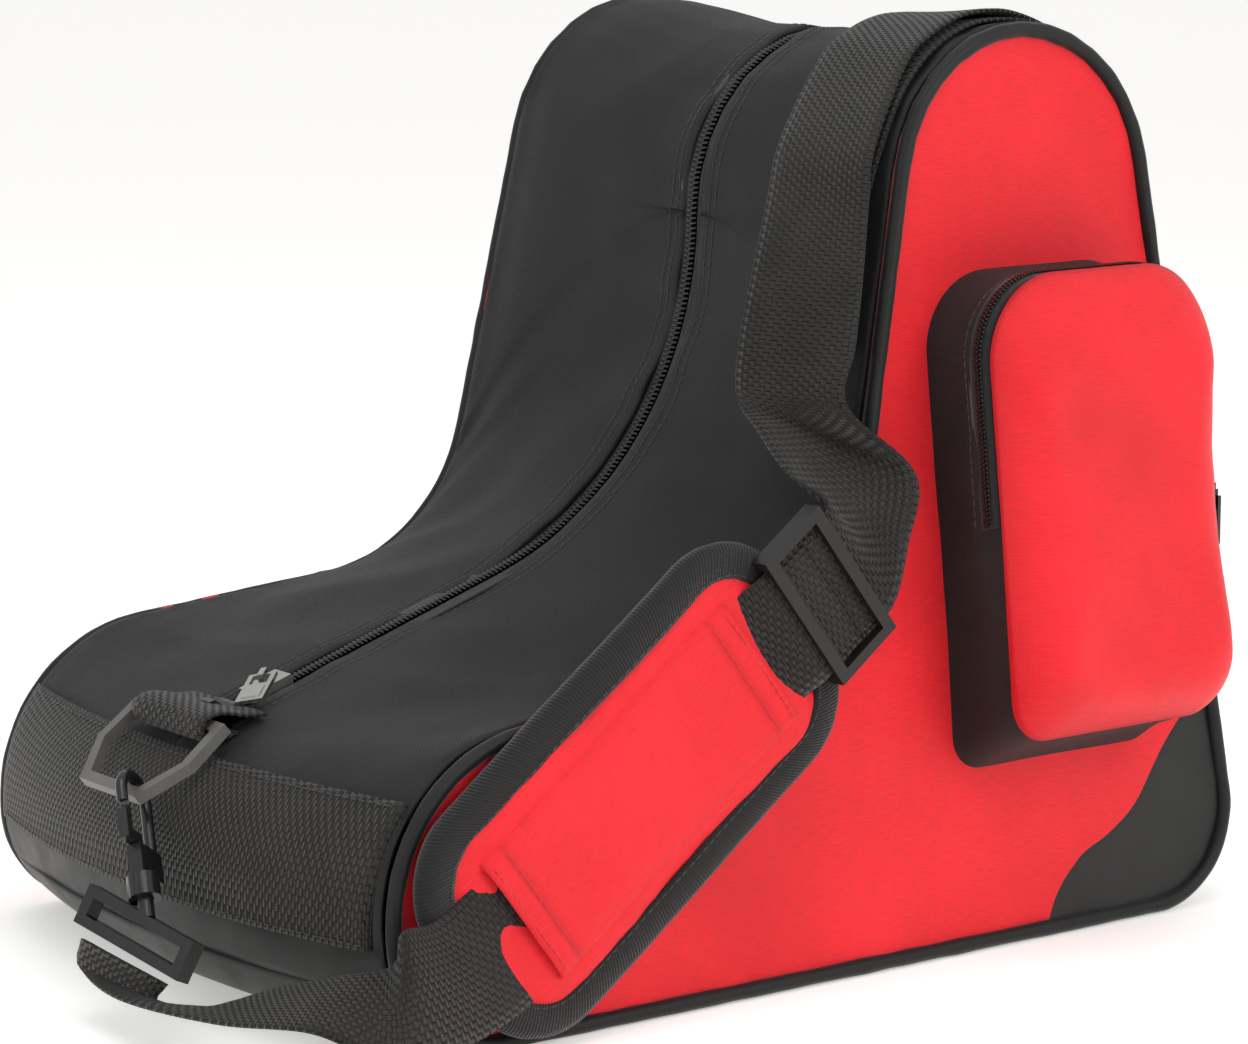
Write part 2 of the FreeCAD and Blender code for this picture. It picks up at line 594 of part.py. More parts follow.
def base_window(axis_frame, bar_way):
    """Placement of the strap window: X from the strap's bar up to the post, Y along the bar."""
    foot = axis_frame.multVec(Vector(0, 0, -HOOK_LENGTH * 0.92 - POST_GAP))
    up = axis_frame.Rotation.multVec(Vector(0, 0, 1))
    bar = Vector(bar_way).normalize()
    rise = (up - bar * up.dot(bar)).normalize()
    return frame_at(foot - up * POST_NECK - rise * (BASE_WINDOW / 2 + BASE_BAR), rise, bar)


def hook_frame(eye, base, flat):
    """Placement of a hook whose eye is at eye and whose swivel base lies towards base."""
    up = Vector(eye - base).normalize()
    x = Vector(flat)
    x = (x - up * x.dot(up)).normalize()
    y = up.cross(x)
    return Placement(eye, Rotation(x, y, up, "ZXY"))


def build_hooks():
    save("dring_front", placed(ring_shape(), frame_at(FRONT_RING, FRONT_RING_WAY, Vector(0, 1, 0))))
    save("dring_loop_front", placed(loop_shape(), frame_at(FRONT_RING, FRONT_LOOP_WAY, Vector(0, 1, 0))))
    save_hook("front", hook_frame(FRONT_EYE, FRONT_BASE, FRONT_HOOK_FLAT), FRONT_BAR_WAY)

    save("dring_rear", placed(ring_shape(), frame_at(REAR_RING, REAR_RING_WAY, Vector(0, 1, 0))))
    save("dring_loop_rear", placed(loop_shape(), frame_at(REAR_RING, REAR_LOOP_WAY, Vector(0, 1, 0))))
    save_hook("rear", hook_frame(REAR_EYE, REAR_BASE, REAR_HOOK_FLAT), REAR_BAR_WAY)


def save_hook(end, frame, bar_way):
    save("hook_" + end, placed(hook_shape(), frame))
    save("hook_gate_" + end, placed(gate_shape(), frame))
    save("hook_base_" + end, hook_base_shape(frame, bar_way))


# ---- strap ----

def finer(stations):
    """The same strip with extra pairs of edge points between the given ones."""
    result = []
    for (a, b), (c, d) in zip(stations, stations[1:]):
        for step in range(RIBBON_STEPS):
            share = step / RIBBON_STEPS
            result.append((a + (c - a) * share, b + (d - b) * share))
    return result + [stations[-1]]


def ribbon(given):
    """A webbing strip through pairs of edge points, closed by flat three-cornered faces."""
    stations = finer(given)
    sections = []
    for i, (a, b) in enumerate(stations):
        before = stations[max(i - 1, 0)]
        after = stations[min(i + 1, len(stations) - 1)]
        out_a = (after[0] - before[0]).cross(b - a).normalize() * (WEBBING_THICK / 2)
        out_b = (after[1] - before[1]).cross(b - a).normalize() * (WEBBING_THICK / 2)
        sections.append([a + out_a, b + out_b, b - out_b, a - out_a])
    first, last = sections[0], sections[-1]
    faces = [closed_face([first[2], first[1], first[0]]), closed_face([first[3], first[2], first[0]])]
    faces += [closed_face([last[0], last[1], last[2]]), closed_face([last[0], last[2], last[3]])]
    for this, following in zip(sections, sections[1:]):
        for k in range(4):
            m = (k + 1) % 4
            near_end, far_end = (following[m], this[k]) if k < 2 else (following[k], this[m])
            faces.append(closed_face([this[k], this[m], near_end]))
            faces.append(closed_face([far_end, following[m], following[k]]))
    skin = Part.Compound(faces)
    skin.sewShape()
    shell = skin.Shells[0]
    strip = Part.Solid(shell)
    if strip.Volume < 0:
        strip = Part.Solid(shell.reversed())
    return strip


def closed_face(corners):
    return Part.Face(Part.makePolygon(corners + corners[:1]))


def pad_frame(off=0.0):
    """Placement on the near panel with X along the shoulder pad, Y up across it and Z outwards."""
    turn = math.radians(PAD_ANGLE)
    origin = panel_point(PAD_X, PAD_Z, off)
    along = panel_point(PAD_X + math.cos(turn), PAD_Z + math.sin(turn), off) - origin
    across = panel_point(PAD_X - math.sin(turn), PAD_Z + math.cos(turn), off) - origin
    return frame_at(origin, along, across)


def on_pad(x, y, off):
    return pad_frame(off).multVec(Vector(x, y, 0))


def seam_front(z):
    return SEAM_FRONT_X + SHAFT_FRONT_SLOPE * z


def beside_shaft(z, dx, dy):
    """A point near the front seam at height z: dx behind the seam line, dy in from the side panel."""
    edge = panel_point(seam_front(z), z, 0)
    return Vector(edge.x + dx, edge.y + dy, z)


def dome_point(turn, lift, y):
    """A point above the round top, turn degrees from its highest point towards the heel."""
    centre = Vector(dome_centre_x(), y, HEIGHT - SEAM_TOP_R)
    a = math.radians(turn)
    r = SEAM_TOP_R + lift
    return centre + Vector(math.sin(a) * r, 0, math.cos(a) * r)


def dome_centre_x():
    z = HEIGHT - SEAM_TOP_R
    return seam_front(z) + SEAM_TOP_R * math.hypot(1.0, SHAFT_FRONT_SLOPE)


def build_strap():
    half = WEBBING / 2
    base = base_window(hook_frame(FRONT_EYE, FRONT_BASE, FRONT_HOOK_FLAT), FRONT_BAR_WAY)
    lower = [
        strap_end(base)[::-1],
        strap_end(base, 9.0)[::-1],
        (Vector(-TOE_REACH - 54, -52, 17), Vector(-TOE_REACH - 38, -94, 20)),
        (Vector(-TOE_REACH - 54, -112, 22), Vector(-TOE_REACH - 19, -97, 26)),
        (Vector(-TOE_REACH - 45, -157, 27), Vector(-TOE_REACH - 13, -125, 34)),
        (Vector(-TOE_REACH - 27, -173, 17), Vector(-TOE_REACH - 2, -143, 40)),
        (Vector(-TOE_REACH - 4, -170, 13), Vector(-TOE_REACH - 3, -150, 54)),
        (on_pad(-PAD_LENGTH / 2 + 8, -half, STRAP_OFF), on_pad(-PAD_LENGTH / 2 + 8, half, STRAP_OFF)),
        (on_pad(SLEEVE_LENGTH / 2 + 4, -half, STRAP_OFF), on_pad(SLEEVE_LENGTH / 2 + 4, half, STRAP_OFF)),
        glide_pair(GLIDE_ALONG - 18),
        glide_pair(GLIDE_ALONG - JOIN_GAP),
    ]
    save("strap_lower", ribbon(lower))
    upper = [
        glide_pair(GLIDE_ALONG + JOIN_GAP),
        glide_pair(GLIDE_ALONG + 26),
        (Vector(20, -149, 165), Vector(-24, -132, 194)),
        (Vector(28, -144, 190), Vector(-18, -106, 207)),
    ]
    for z, right, left in (
            (216, (-16, -10), (-29, 39)),
            (238, (-14, -8), (-30, 40)),
            (262, (-12, -5), (-27, 41)),
            (287, (-11, -2), (-20, 46)),
            (309, (-10, 0), (-14, 50))):
        upper.append((beside_shaft(z, *right), beside_shaft(z, *left)))
    for turn in (-45, -30, -15, 0, 15, 30, 45, 60, 75, 90):
        lift = STRAP_LIFT + max(turn - 60, 0) * 0.15
        upper.append((dome_point(turn, lift, STRAP_TOP_Y), dome_point(turn, lift, STRAP_TOP_Y + WEBBING)))
    base = base_window(hook_frame(REAR_EYE, REAR_BASE, REAR_HOOK_FLAT), REAR_BAR_WAY)
    behind = Vector(HEEL_REACH - 20, STRAP_TOP_Y + 20, 250)
    upper.append((behind, behind + Vector(0, WEBBING, 0)))
    upper.append(strap_end(base))
    save("strap_upper", ribbon(upper))


def glide_pair(along):
    """Edge points of the strap where it runs lifted through the adjuster."""
    half = WEBBING / 2
    off = STRAP_OFF + GLIDE_LIFT
    return on_pad(along, -half, off), on_pad(along, half, off)


def strap_end(window, past=0.0):
    """Edge points of a strap's end, just past the bar that it wraps round."""
    x = -BASE_WINDOW / 2 - BASE_BAR - WEBBING_THICK / 2 - 0.3 - past
    return window.multVec(Vector(x, -WEBBING / 2, 0)), window.multVec(Vector(x, WEBBING / 2, 0))


def build_strap_tail():
    """The strap's second layer, flat on the shaft under the first."""
    layer = [(beside_shaft(z, -6, 4), beside_shaft(z, -4, 4 + WEBBING)) for z in (232, 262, 292)]
    edge = layer[-1][0].y
    for turn in (-62, -45, -30, -15, 0, 15, 30, 45, 60):
        layer.append((dome_point(turn, 3.2, edge), dome_point(turn, 3.2, edge + WEBBING)))
    save("strap_tail", ribbon(layer))


def build_pad():
    u = PAD_LENGTH / 2
    v = PAD_WIDTH / 2

    def slab(inset, low, high):
        corners = [(-u, -v), (u, -v), (u, v), (-u, v)]
        flat = plate(rounded(corners, [PAD_CORNER_R] * 4, inset), high - low)
        flat.rotate(Vector(0, 0, 0), Vector(1, 0, 0), 90)
        flat.translate(Vector(0, 0, low))
        return flat

    back = PAD_OFF
    front = PAD_OFF + PAD_THICK
    frame = pad_frame()
    cover = slab(BINDING / 2, back, front)
    save("shoulder_pad", placed(cover, frame))
    save("pad_binding", placed(slab(0, back - 0.5, front + 0.4).cut(slab(BINDING / 2, 0, FAR / 10)), frame))
    s = SLEEVE_LENGTH / 2
    w = SLEEVE_WIDTH / 2
    roof = STRAP_OFF + WEBBING_THICK / 2 + SLEEVE_GAP
    sleeve = box(-s, s, -w, w, front, roof + SLEEVE_WALL)
    tunnel = box(-FAR, FAR, -WEBBING / 2 - SLEEVE_GAP, WEBBING / 2 + SLEEVE_GAP, 0, roof)
    save("pad_sleeve", placed(sleeve.cut(tunnel), frame))


def build_adjuster():
    """The strap adjuster: two bars over the webbing and one under it, joined by side rails."""
    frame = pad_frame(STRAP_OFF + GLIDE_LIFT)
    frame = frame.multiply(Placement(Vector(GLIDE_ALONG, 0, 0), Rotation()))
    half = GLIDE_LENGTH / 2
    inside = WEBBING / 2 + 1.0
    gap = WEBBING_THICK / 2 + 0.5
    whole = box(-half, half, -inside - 4, inside + 4, -gap - GLIDE_THICK, gap + GLIDE_THICK)
    rails = whole.cut(box(-FAR, FAR, -inside, inside, -FAR, FAR))
    bars = whole.common(box(-FAR, -half + GLIDE_BAR, -inside, inside, gap, FAR))
    bars = bars.fuse(whole.common(box(half - GLIDE_BAR, FAR, -inside, inside, gap, FAR)))
    bars = bars.fuse(whole.common(box(-GLIDE_BAR / 2, GLIDE_BAR / 2, -inside, inside, -FAR, -gap)))
    save("strap_adjuster", placed(rails.fuse(bars).removeSplitter(), frame))


def build():
    build_zip(build_shell())
    build_piping()
    build_heel_patch()
    build_sliders()
    build_pocket()
    build_hooks()
    build_strap()
    build_strap_tail()
    build_pad()
    build_adjuster()


build()
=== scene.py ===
import json
import math

import bmesh
import bpy
from bpy.props import FloatProperty, FloatVectorProperty, PointerProperty
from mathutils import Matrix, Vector, noise


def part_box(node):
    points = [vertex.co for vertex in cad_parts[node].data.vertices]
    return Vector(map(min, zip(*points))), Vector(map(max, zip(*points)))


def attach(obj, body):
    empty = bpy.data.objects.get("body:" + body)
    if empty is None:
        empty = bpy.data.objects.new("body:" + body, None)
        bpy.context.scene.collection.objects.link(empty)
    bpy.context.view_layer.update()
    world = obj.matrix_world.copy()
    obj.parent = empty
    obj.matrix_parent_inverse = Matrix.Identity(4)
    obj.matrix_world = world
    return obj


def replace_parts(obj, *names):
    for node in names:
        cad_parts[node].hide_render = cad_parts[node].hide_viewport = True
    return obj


# A boot-shaped skate bag: red nylon sides, black nylon gusset, webbing strap, shoulder pad and pocket.
# Metres, +Z up, heel towards +X, pocket side towards -Y.

bl_info = {
    "name": "Skate Bag",
    "version": (1, 0, 0),
    "blender": (4, 5, 0),
    "location": "View3D > Sidebar > Skate Bag",
    "description": "Builds a boot-shaped skate bag with its strap, pad, pocket and zips",
    "category": "Add Mesh",
}

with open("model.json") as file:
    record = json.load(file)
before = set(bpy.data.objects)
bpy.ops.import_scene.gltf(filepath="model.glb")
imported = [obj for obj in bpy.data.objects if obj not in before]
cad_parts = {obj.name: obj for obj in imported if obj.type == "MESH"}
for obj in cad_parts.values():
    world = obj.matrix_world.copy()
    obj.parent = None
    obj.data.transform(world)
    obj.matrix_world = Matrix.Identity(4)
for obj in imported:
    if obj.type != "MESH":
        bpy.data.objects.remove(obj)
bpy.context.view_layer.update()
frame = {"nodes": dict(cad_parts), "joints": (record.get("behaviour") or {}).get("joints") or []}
MM = 0.001


def low(node):
    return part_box(node)[0]


def high(node):
    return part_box(node)[1]


# ---- sizes read from the frame ----

TOE_REACH = -low("side_panel_near").x
HEEL_REACH = high("side_panel_near").x
BASE_HALF = -low("side_panel_near").y
LEAN = math.radians(3.18)
FLOOR_LIFT = 3.5 * MM * math.sin(LEAN)
HEIGHT = (high("side_panel_near").z - FLOOR_LIFT) / math.cos(LEAN)
JOINTS = {j["name"]: j for j in frame["joints"]}


# ---- outlines ----

def crossing(p, d, q, e):
    """Where the line p + t d meets the line q + s e."""
    cross = d[0] * e[1] - d[1] * e[0]
    t = ((q[0] - p[0]) * e[1] - (q[1] - p[1]) * e[0]) / cross
    return (p[0] + t * d[0], p[1] + t * d[1])


def unit(a, b):
    length = math.hypot(b[0] - a[0], b[1] - a[1])
    return ((b[0] - a[0]) / length, (b[1] - a[1]) / length)


def moved_in(corners, inset):
    """The same outline with every side moved in by inset; corners run anticlockwise."""
    sides = []
    for i, a in enumerate(corners):
        b = corners[(i + 1) % len(corners)]
        d = unit(a, b)
        sides.append(((a[0] - d[1] * inset, a[1] + d[0] * inset), d))
    return [crossing(*sides[i - 1], *sides[i]) for i in range(len(corners))]


def rounded(corners, radii, inset=0.0, steps=14):
    """A closed outline as spans of points, a straight and an arc for each corner, each of steps points."""
    points = moved_in(corners, inset)
    stations = []
    for i, p in enumerate(points):
        d1 = unit(points[i - 1], p)
        d2 = unit(p, points[(i + 1) % len(points)])
        turn = math.atan2(d1[0] * d2[1] - d1[1] * d2[0], d1[0] * d2[0] + d1[1] * d2[1])
        side = 1.0 if turn > 0 else -1.0
        r = radii[i] - side * inset
        reach = r * math.tan(abs(turn) / 2)
        start = (p[0] - d1[0] * reach, p[1] - d1[1] * reach)
        centre = (start[0] - d1[1] * r * side, start[1] + d1[0] * r * side)
        first = math.atan2(start[1] - centre[1], start[0] - centre[0])
        arc = []
        for k in range(steps + 1):
            a = first + turn * k / steps
            arc.append((centre[0] + r * math.cos(a), centre[1] + r * math.sin(a)))
        stations.append(arc)
    spans = []
    for i, arc in enumerate(stations):
        before = stations[i - 1][-1]
        line = []
        for k in range(steps + 1):
            share = k / steps
            line.append((before[0] + (arc[0][0] - before[0]) * share, before[1] + (arc[0][1] - before[1]) * share))
        spans += [line, arc]
    return spans


def dome(front_x, front_slope, back_x, back_slope, top):
    """Apex corner and radius of the round top between the shaft's front and back lines."""
    fs = math.hypot(1.0, front_slope)
    bs = math.hypot(1.0, back_slope)
    r = (back_x - front_x - (front_slope + back_slope) * top) / (fs + bs - front_slope - back_slope)
    apex = crossing((front_x, 0.0), (front_slope, 1.0), (back_x, 0.0), (-back_slope, 1.0))
    return apex, r


TOE_HEIGHT = 109.9 * MM
SHAFT_DEPTH = 207.7 * MM
FRONT_SLOPE = 0.20
BACK_SLOPE = 0.155
ANKLE_X = HEEL_REACH - SHAFT_DEPTH
ANKLE_Z = TOE_HEIGHT + 0.08 * (ANKLE_X + TOE_REACH)
SEAM_FRONT_X = ANKLE_X - FRONT_SLOPE * ANKLE_Z
SEAM_APEX, SEAM_TOP_R = dome(SEAM_FRONT_X, FRONT_SLOPE, HEEL_REACH, BACK_SLOPE, HEIGHT)
SEAM = [(-TOE_REACH, 0.0), (HEEL_REACH, 0.0), SEAM_APEX, (ANKLE_X, ANKLE_Z), (-TOE_REACH, TOE_HEIGHT)]
SEAM_RADII = [45 * MM, 40 * MM, SEAM_TOP_R, 70 * MM, 66 * MM]

MID_TOE_X = -TOE_REACH - 20 * MM
MID_TOE_Z = TOE_HEIGHT - 21.4 * MM
MID_FRONT_X = ANKLE_X + 33.7 * MM
MID_ANKLE_Z = MID_TOE_Z + 0.33 * (MID_FRONT_X - MID_TOE_X)
MID_APEX, MID_TOP_R = dome(MID_FRONT_X, 0.0, HEEL_REACH + 8 * MM, BACK_SLOPE, HEIGHT - 9 * MM)
MIDDLE = [(MID_TOE_X, 0.0), (HEEL_REACH + 8 * MM, 0.0), MID_APEX, (MID_FRONT_X, MID_ANKLE_Z), (MID_TOE_X, MID_TOE_Z)]
MIDDLE_RADII = [45 * MM, 40 * MM, MID_TOP_R, 140 * MM, 45 * MM]
TOE_SEAM_Z = 92 * MM
ZIP_END_Z = 150 * MM
BASE_TURN_UP = 25 * MM
ZIP_START_X = -192 * MM


def panel_point(x, z, off):
    """The point at x, height z up the near side panel, off outside it."""
    y = -BASE_HALF + z * math.sin(LEAN) - off * math.cos(LEAN)
    return Vector((x, y, z * math.cos(LEAN) + off * math.sin(LEAN) + FLOOR_LIFT))


# ---- colours, nodes and materials ----

def linear(code):
    """An sRGB hex value such as "c8102e" as linear RGBA."""
    parts = [int(code[i:i + 2], 16) / 255 for i in (0, 2, 4)]
    return tuple(c / 12.92 if c <= 0.04045 else ((c + 0.055) / 1.055) ** 2.4 for c in parts) + (1.0,)


def add(tree, kind, settings=None, links=None):
    """Adds a node with its settings (attributes and socket values) and its links from other sockets."""
    node = tree.nodes.new(kind)
    for key, value in (settings or {}).items():
        if isinstance(key, str) and hasattr(node, key):
            setattr(node, key, value)
        else:
            node.inputs[key].default_value = value
    for key, socket in (links or {}).items():
        tree.links.new(socket, node.inputs[key])
    return node


def new_material(name):
    material = bpy.data.materials.new(name)
    material.use_nodes = True
    material.node_tree.nodes.clear()
    return material, material.node_tree


def finish_surface(tree, settings, links):
    shader = add(tree, "ShaderNodeBsdfPrincipled", settings, links)
    add(tree, "ShaderNodeOutputMaterial", {}, {"Surface": shader.outputs[0]})
    return shader


def blend_colours(tree, factor, dark, light):
    """Mixes two hex colours by a factor socket and returns the colour socket."""
    mix = add(tree, "ShaderNodeMix", {"data_type": "RGBA"})
    mix.inputs[6].default_value = linear(dark)
    mix.inputs[7].default_value = linear(light)
    tree.links.new(factor, mix.inputs[0])
    return mix.outputs[2]


def bumps(tree, height, distance, strength, normal=None):
    links = {"Height": height}
    if normal is not None:
        links["Normal"] = normal
    node = add(tree, "ShaderNodeBump", {"Distance": distance, "Strength": strength}, links)
    return node.outputs[0]


def weave_height(tree, coordinates, pitch_u, pitch_v):
    """Height of a plain weave: threads that cross, one thread every pitch along u and along v."""
    split = add(tree, "ShaderNodeSeparateXYZ", {}, {0: coordinates})
    waves = []
    for axis, pitch in ((0, pitch_u), (1, pitch_v)):
        scaled = add(tree, "ShaderNodeMath", {"operation": "MULTIPLY", 1: math.pi / pitch}, {0: split.outputs[axis]})
        wave = add(tree, "ShaderNodeMath", {"operation": "SINE"}, {0: scaled.outputs[0]})
        size = add(tree, "ShaderNodeMath", {"operation": "ABSOLUTE"}, {0: wave.outputs[0]})
        waves.append(size.outputs[0])
    cells = add(tree, "ShaderNodeTexChecker", {"Scale": 1.0, "Color1": (1, 1, 1, 1), "Color2": (0, 0, 0, 1)},
                {"Vector": scaled_by(tree, coordinates, 1 / pitch_u, 1 / pitch_v)})
    over = add(tree, "ShaderNodeMix", {"data_type": "FLOAT"},
               {0: cells.outputs["Fac"], 2: waves[0], 3: waves[1]})
    return over.outputs[0]


def scaled_by(tree, coordinates, u, v, w=1.0):
    node = add(tree, "ShaderNodeVectorMath", {"operation": "MULTIPLY", 1: (u, v, w)}, {0: coordinates})
    return node.outputs[0]


def ripstop(name, shade, light, crease_shade, roughness, sheen):
    """Ripstop nylon: fine plain weave with a thicker thread every few millimetres, softly creased, with painted shade
    darkening its dents, folds and seams.
    """
    material, tree = new_material(name)
    weave = add(tree, "ShaderNodeUVMap", {"uv_map": "weave"}).outputs[0]
    place = add(tree, "ShaderNodeTexCoord").outputs["Object"]
    threads = weave_height(tree, weave, 0.55 * MM, 0.55 * MM)
    ribs = weave_height(tree, weave, 3.2 * MM, 3.2 * MM)
    slubs = add(tree, "ShaderNodeTexNoise", {"Scale": 1.0, "Detail": 3.0},
                {"Vector": scaled_by(tree, weave, 1 / (6 * MM), 1 / (0.5 * MM))}).outputs["Fac"]
    mottle = add(tree, "ShaderNodeTexNoise", {"Scale": 14.0, "Detail": 3.0, "Roughness": 0.55},
                 {"Vector": place}).outputs["Fac"]
    spread = add(tree, "ShaderNodeMapRange", {1: 0.32, 2: 0.68, 3: 0.0, 4: 1.0}, {0: mottle}).outputs[0]
    base = blend_colours(tree, spread, shade, light)
    streak = add(tree, "ShaderNodeMapRange", {1: 0.3, 2: 0.7, 3: 0.86, 4: 1.12}, {0: slubs}).outputs[0]
    tinted = add(tree, "ShaderNodeVectorMath", {"operation": "SCALE"}, {0: base, "Scale": streak}).outputs[0]
    # Painted shade: the fourth colour is laid over the cloth where the crease attribute marks dents, folds and seams,
    # darkening them as if in shadow.
    crease_shade_mask = add(tree, "ShaderNodeAttribute", {"attribute_name": "crease_shade"}).outputs["Fac"]
    mix = add(tree, "ShaderNodeMix", {"data_type": "RGBA"}, {0: crease_shade_mask, 6: tinted})
    mix.inputs[7].default_value = linear(crease_shade)
    soft = add(tree, "ShaderNodeTexNoise", {"Scale": 55.0, "Detail": 4.0, "Roughness": 0.6},
               {"Vector": place}).outputs["Fac"]
    folds = bumps(tree, soft, 1.6 * MM, 0.22)
    grid = bumps(tree, ribs, 0.10 * MM, 0.45, folds)
    fine = bumps(tree, threads, 0.12 * MM, 0.8, grid)
    rough = add(tree, "ShaderNodeMapRange", {1: 0.3, 2: 0.7, 3: roughness - 0.05, 4: roughness + 0.07},
                {0: slubs}).outputs[0]
    finish_surface(tree, {"IOR": 1.53, "Specular IOR Level": 0.3, "Sheen Weight": sheen, "Sheen Roughness": 0.45},
                   {"Base Color": mix.outputs[2], "Roughness": rough, "Normal": fine})
    return material


def webbing(name, dark, light, pitch):
    """Woven polypropylene webbing: thick shiny yarns in a basket weave, one rib every pitch, with a painted highlight
    on the raised yarns.
    """
    material, tree = new_material(name)
    weave = add(tree, "ShaderNodeUVMap", {"uv_map": "weave"}).outputs[0]
    yarns = weave_height(tree, weave, pitch, pitch * 0.62)
    hairs = add(tree, "ShaderNodeTexNoise", {"Scale": 1.0, "Detail": 2.0},
                {"Vector": scaled_by(tree, weave, 1 / (0.35 * MM), 1 / (1.6 * MM))}).outputs["Fac"]
    highlight_patches = add(tree, "ShaderNodeTexNoise", {"Scale": 40.0, "Detail": 3.0},
               {"Vector": add(tree, "ShaderNodeTexCoord").outputs["Object"]}).outputs["Fac"]
    # Painted highlight: the raised yarns are painted lighter, brighter in random patches, as if catching the light.
    shade = add(tree, "ShaderNodeMath", {"operation": "MULTIPLY"}, {0: yarns, 1: hairs}).outputs[0]
    spread = add(tree, "ShaderNodeMapRange", {1: 0.05, 2: 0.55, 3: 0.0, 4: 1.0}, {0: shade}).outputs[0]
    lit = add(tree, "ShaderNodeMath", {"operation": "MULTIPLY"}, {0: spread, 1: highlight_patches}).outputs[0]
    lit = add(tree, "ShaderNodeMath", {"operation": "MULTIPLY", 1: 1.8}, {0: lit}).outputs[0]
    colour = blend_colours(tree, lit, dark, light)
    body = bumps(tree, yarns, 0.7 * MM, 1.0)
    fine = bumps(tree, hairs, 0.12 * MM, 0.6, body)
    finish_surface(tree, {"IOR": 1.49, "Roughness": 0.5, "Specular IOR Level": 0.28, "Sheen Weight": 0.15,
                          "Sheen Roughness": 0.4},
                   {"Base Color": colour, "Normal": fine})
    return material


def binding_tape(name, dark, light):
    """Grosgrain binding: fine ribs 1.5 mm apart that run across the tape."""
    material, tree = new_material(name)
    weave = add(tree, "ShaderNodeUVMap", {"uv_map": "weave"}).outputs[0]
    ribs = add(tree, "ShaderNodeTexWave", {"wave_type": "BANDS", "bands_direction": "X", "Scale": 1.0,
                                           "Distortion": 0.4, "Detail": 1.0},
               {"Vector": scaled_by(tree, weave, 0.314 / (1.5 * MM), 1.0)}).outputs["Fac"]
    threads = weave_height(tree, weave, 0.6 * MM, 0.6 * MM)
    # Painted highlight: the tape's raised ribs are painted lighter than the grooves between them.
    colour = blend_colours(tree, ribs, dark, light)
    body = bumps(tree, ribs, 0.35 * MM, 0.8)
    fine = bumps(tree, threads, 0.1 * MM, 0.5, body)
    finish_surface(tree, {"IOR": 1.53, "Roughness": 0.62, "Specular IOR Level": 0.28, "Sheen Weight": 0.25,
                          "Sheen Roughness": 0.4},
                   {"Base Color": colour, "Normal": fine})
    return material


def cloth_cord(name, dark, light):
    """Nylon drawn tight over a cord: a satin tube with fine threads round it."""
    material, tree = new_material(name)
    place = add(tree, "ShaderNodeTexCoord").outputs["Object"]
    threads = add(tree, "ShaderNodeTexVoronoi", {"Scale": 1 / (0.9 * MM)}, {"Vector": place}).outputs["Distance"]
    soft = add(tree, "ShaderNodeTexNoise", {"Scale": 90.0, "Detail": 3.0}, {"Vector": place}).outputs["Fac"]
    colour = blend_colours(tree, soft, dark, light)
    body = bumps(tree, soft, 1.0 * MM, 0.35)
    fine = bumps(tree, threads, 0.15 * MM, 0.5, body)
    finish_surface(tree, {"IOR": 1.53, "Roughness": 0.55, "Specular IOR Level": 0.28, "Sheen Weight": 0.2,
                          "Sheen Roughness": 0.4},
                   {"Base Color": colour, "Normal": fine})
    return material


def grained(name, dark, light, roughness, grain, depth, coat=0.0, metallic=0.0):
    """A moulded or coated skin: near-even colour, a fine grain and slight gloss changes."""
    material, tree = new_material(name)
    place = add(tree, "ShaderNodeTexCoord").outputs["Object"]
    cells = add(tree, "ShaderNodeTexVoronoi", {"feature": "SMOOTH_F1", "Scale": 1 / grain},
                {"Vector": place}).outputs["Distance"]
    cloud = add(tree, "ShaderNodeTexNoise", {"Scale": 60.0, "Detail": 4.0}, {"Vector": place}).outputs["Fac"]
    colour = blend_colours(tree, cloud, dark, light)
    rough = add(tree, "ShaderNodeMapRange", {1: 0.3, 2: 0.7, 3: roughness - 0.06, 4: roughness + 0.08},
                {0: cloud}).outputs[0]
    fine = bumps(tree, cells, depth, 0.6)
    finish_surface(tree, {"IOR": 1.5, "Specular IOR Level": 0.5 if metallic else 0.35, "Metallic": metallic,
                          "Coat Weight": coat, "Coat Roughness": 0.12},
                   {"Base Color": colour, "Roughness": rough, "Normal": fine})
    return material


def thread(name, dark, light):
    """Twisted polyester sewing thread."""
    material, tree = new_material(name)
    place = add(tree, "ShaderNodeTexCoord").outputs["Object"]
    twist = add(tree, "ShaderNodeTexNoise", {"Scale": 900.0, "Detail": 1.0}, {"Vector": place}).outputs["Fac"]
    colour = blend_colours(tree, twist, dark, light)
    fine = bumps(tree, twist, 0.1 * MM, 0.5)
    finish_surface(tree, {"IOR": 1.55, "Roughness": 0.45, "Sheen Weight": 0.2},
                   {"Base Color": colour, "Normal": fine})
    return material


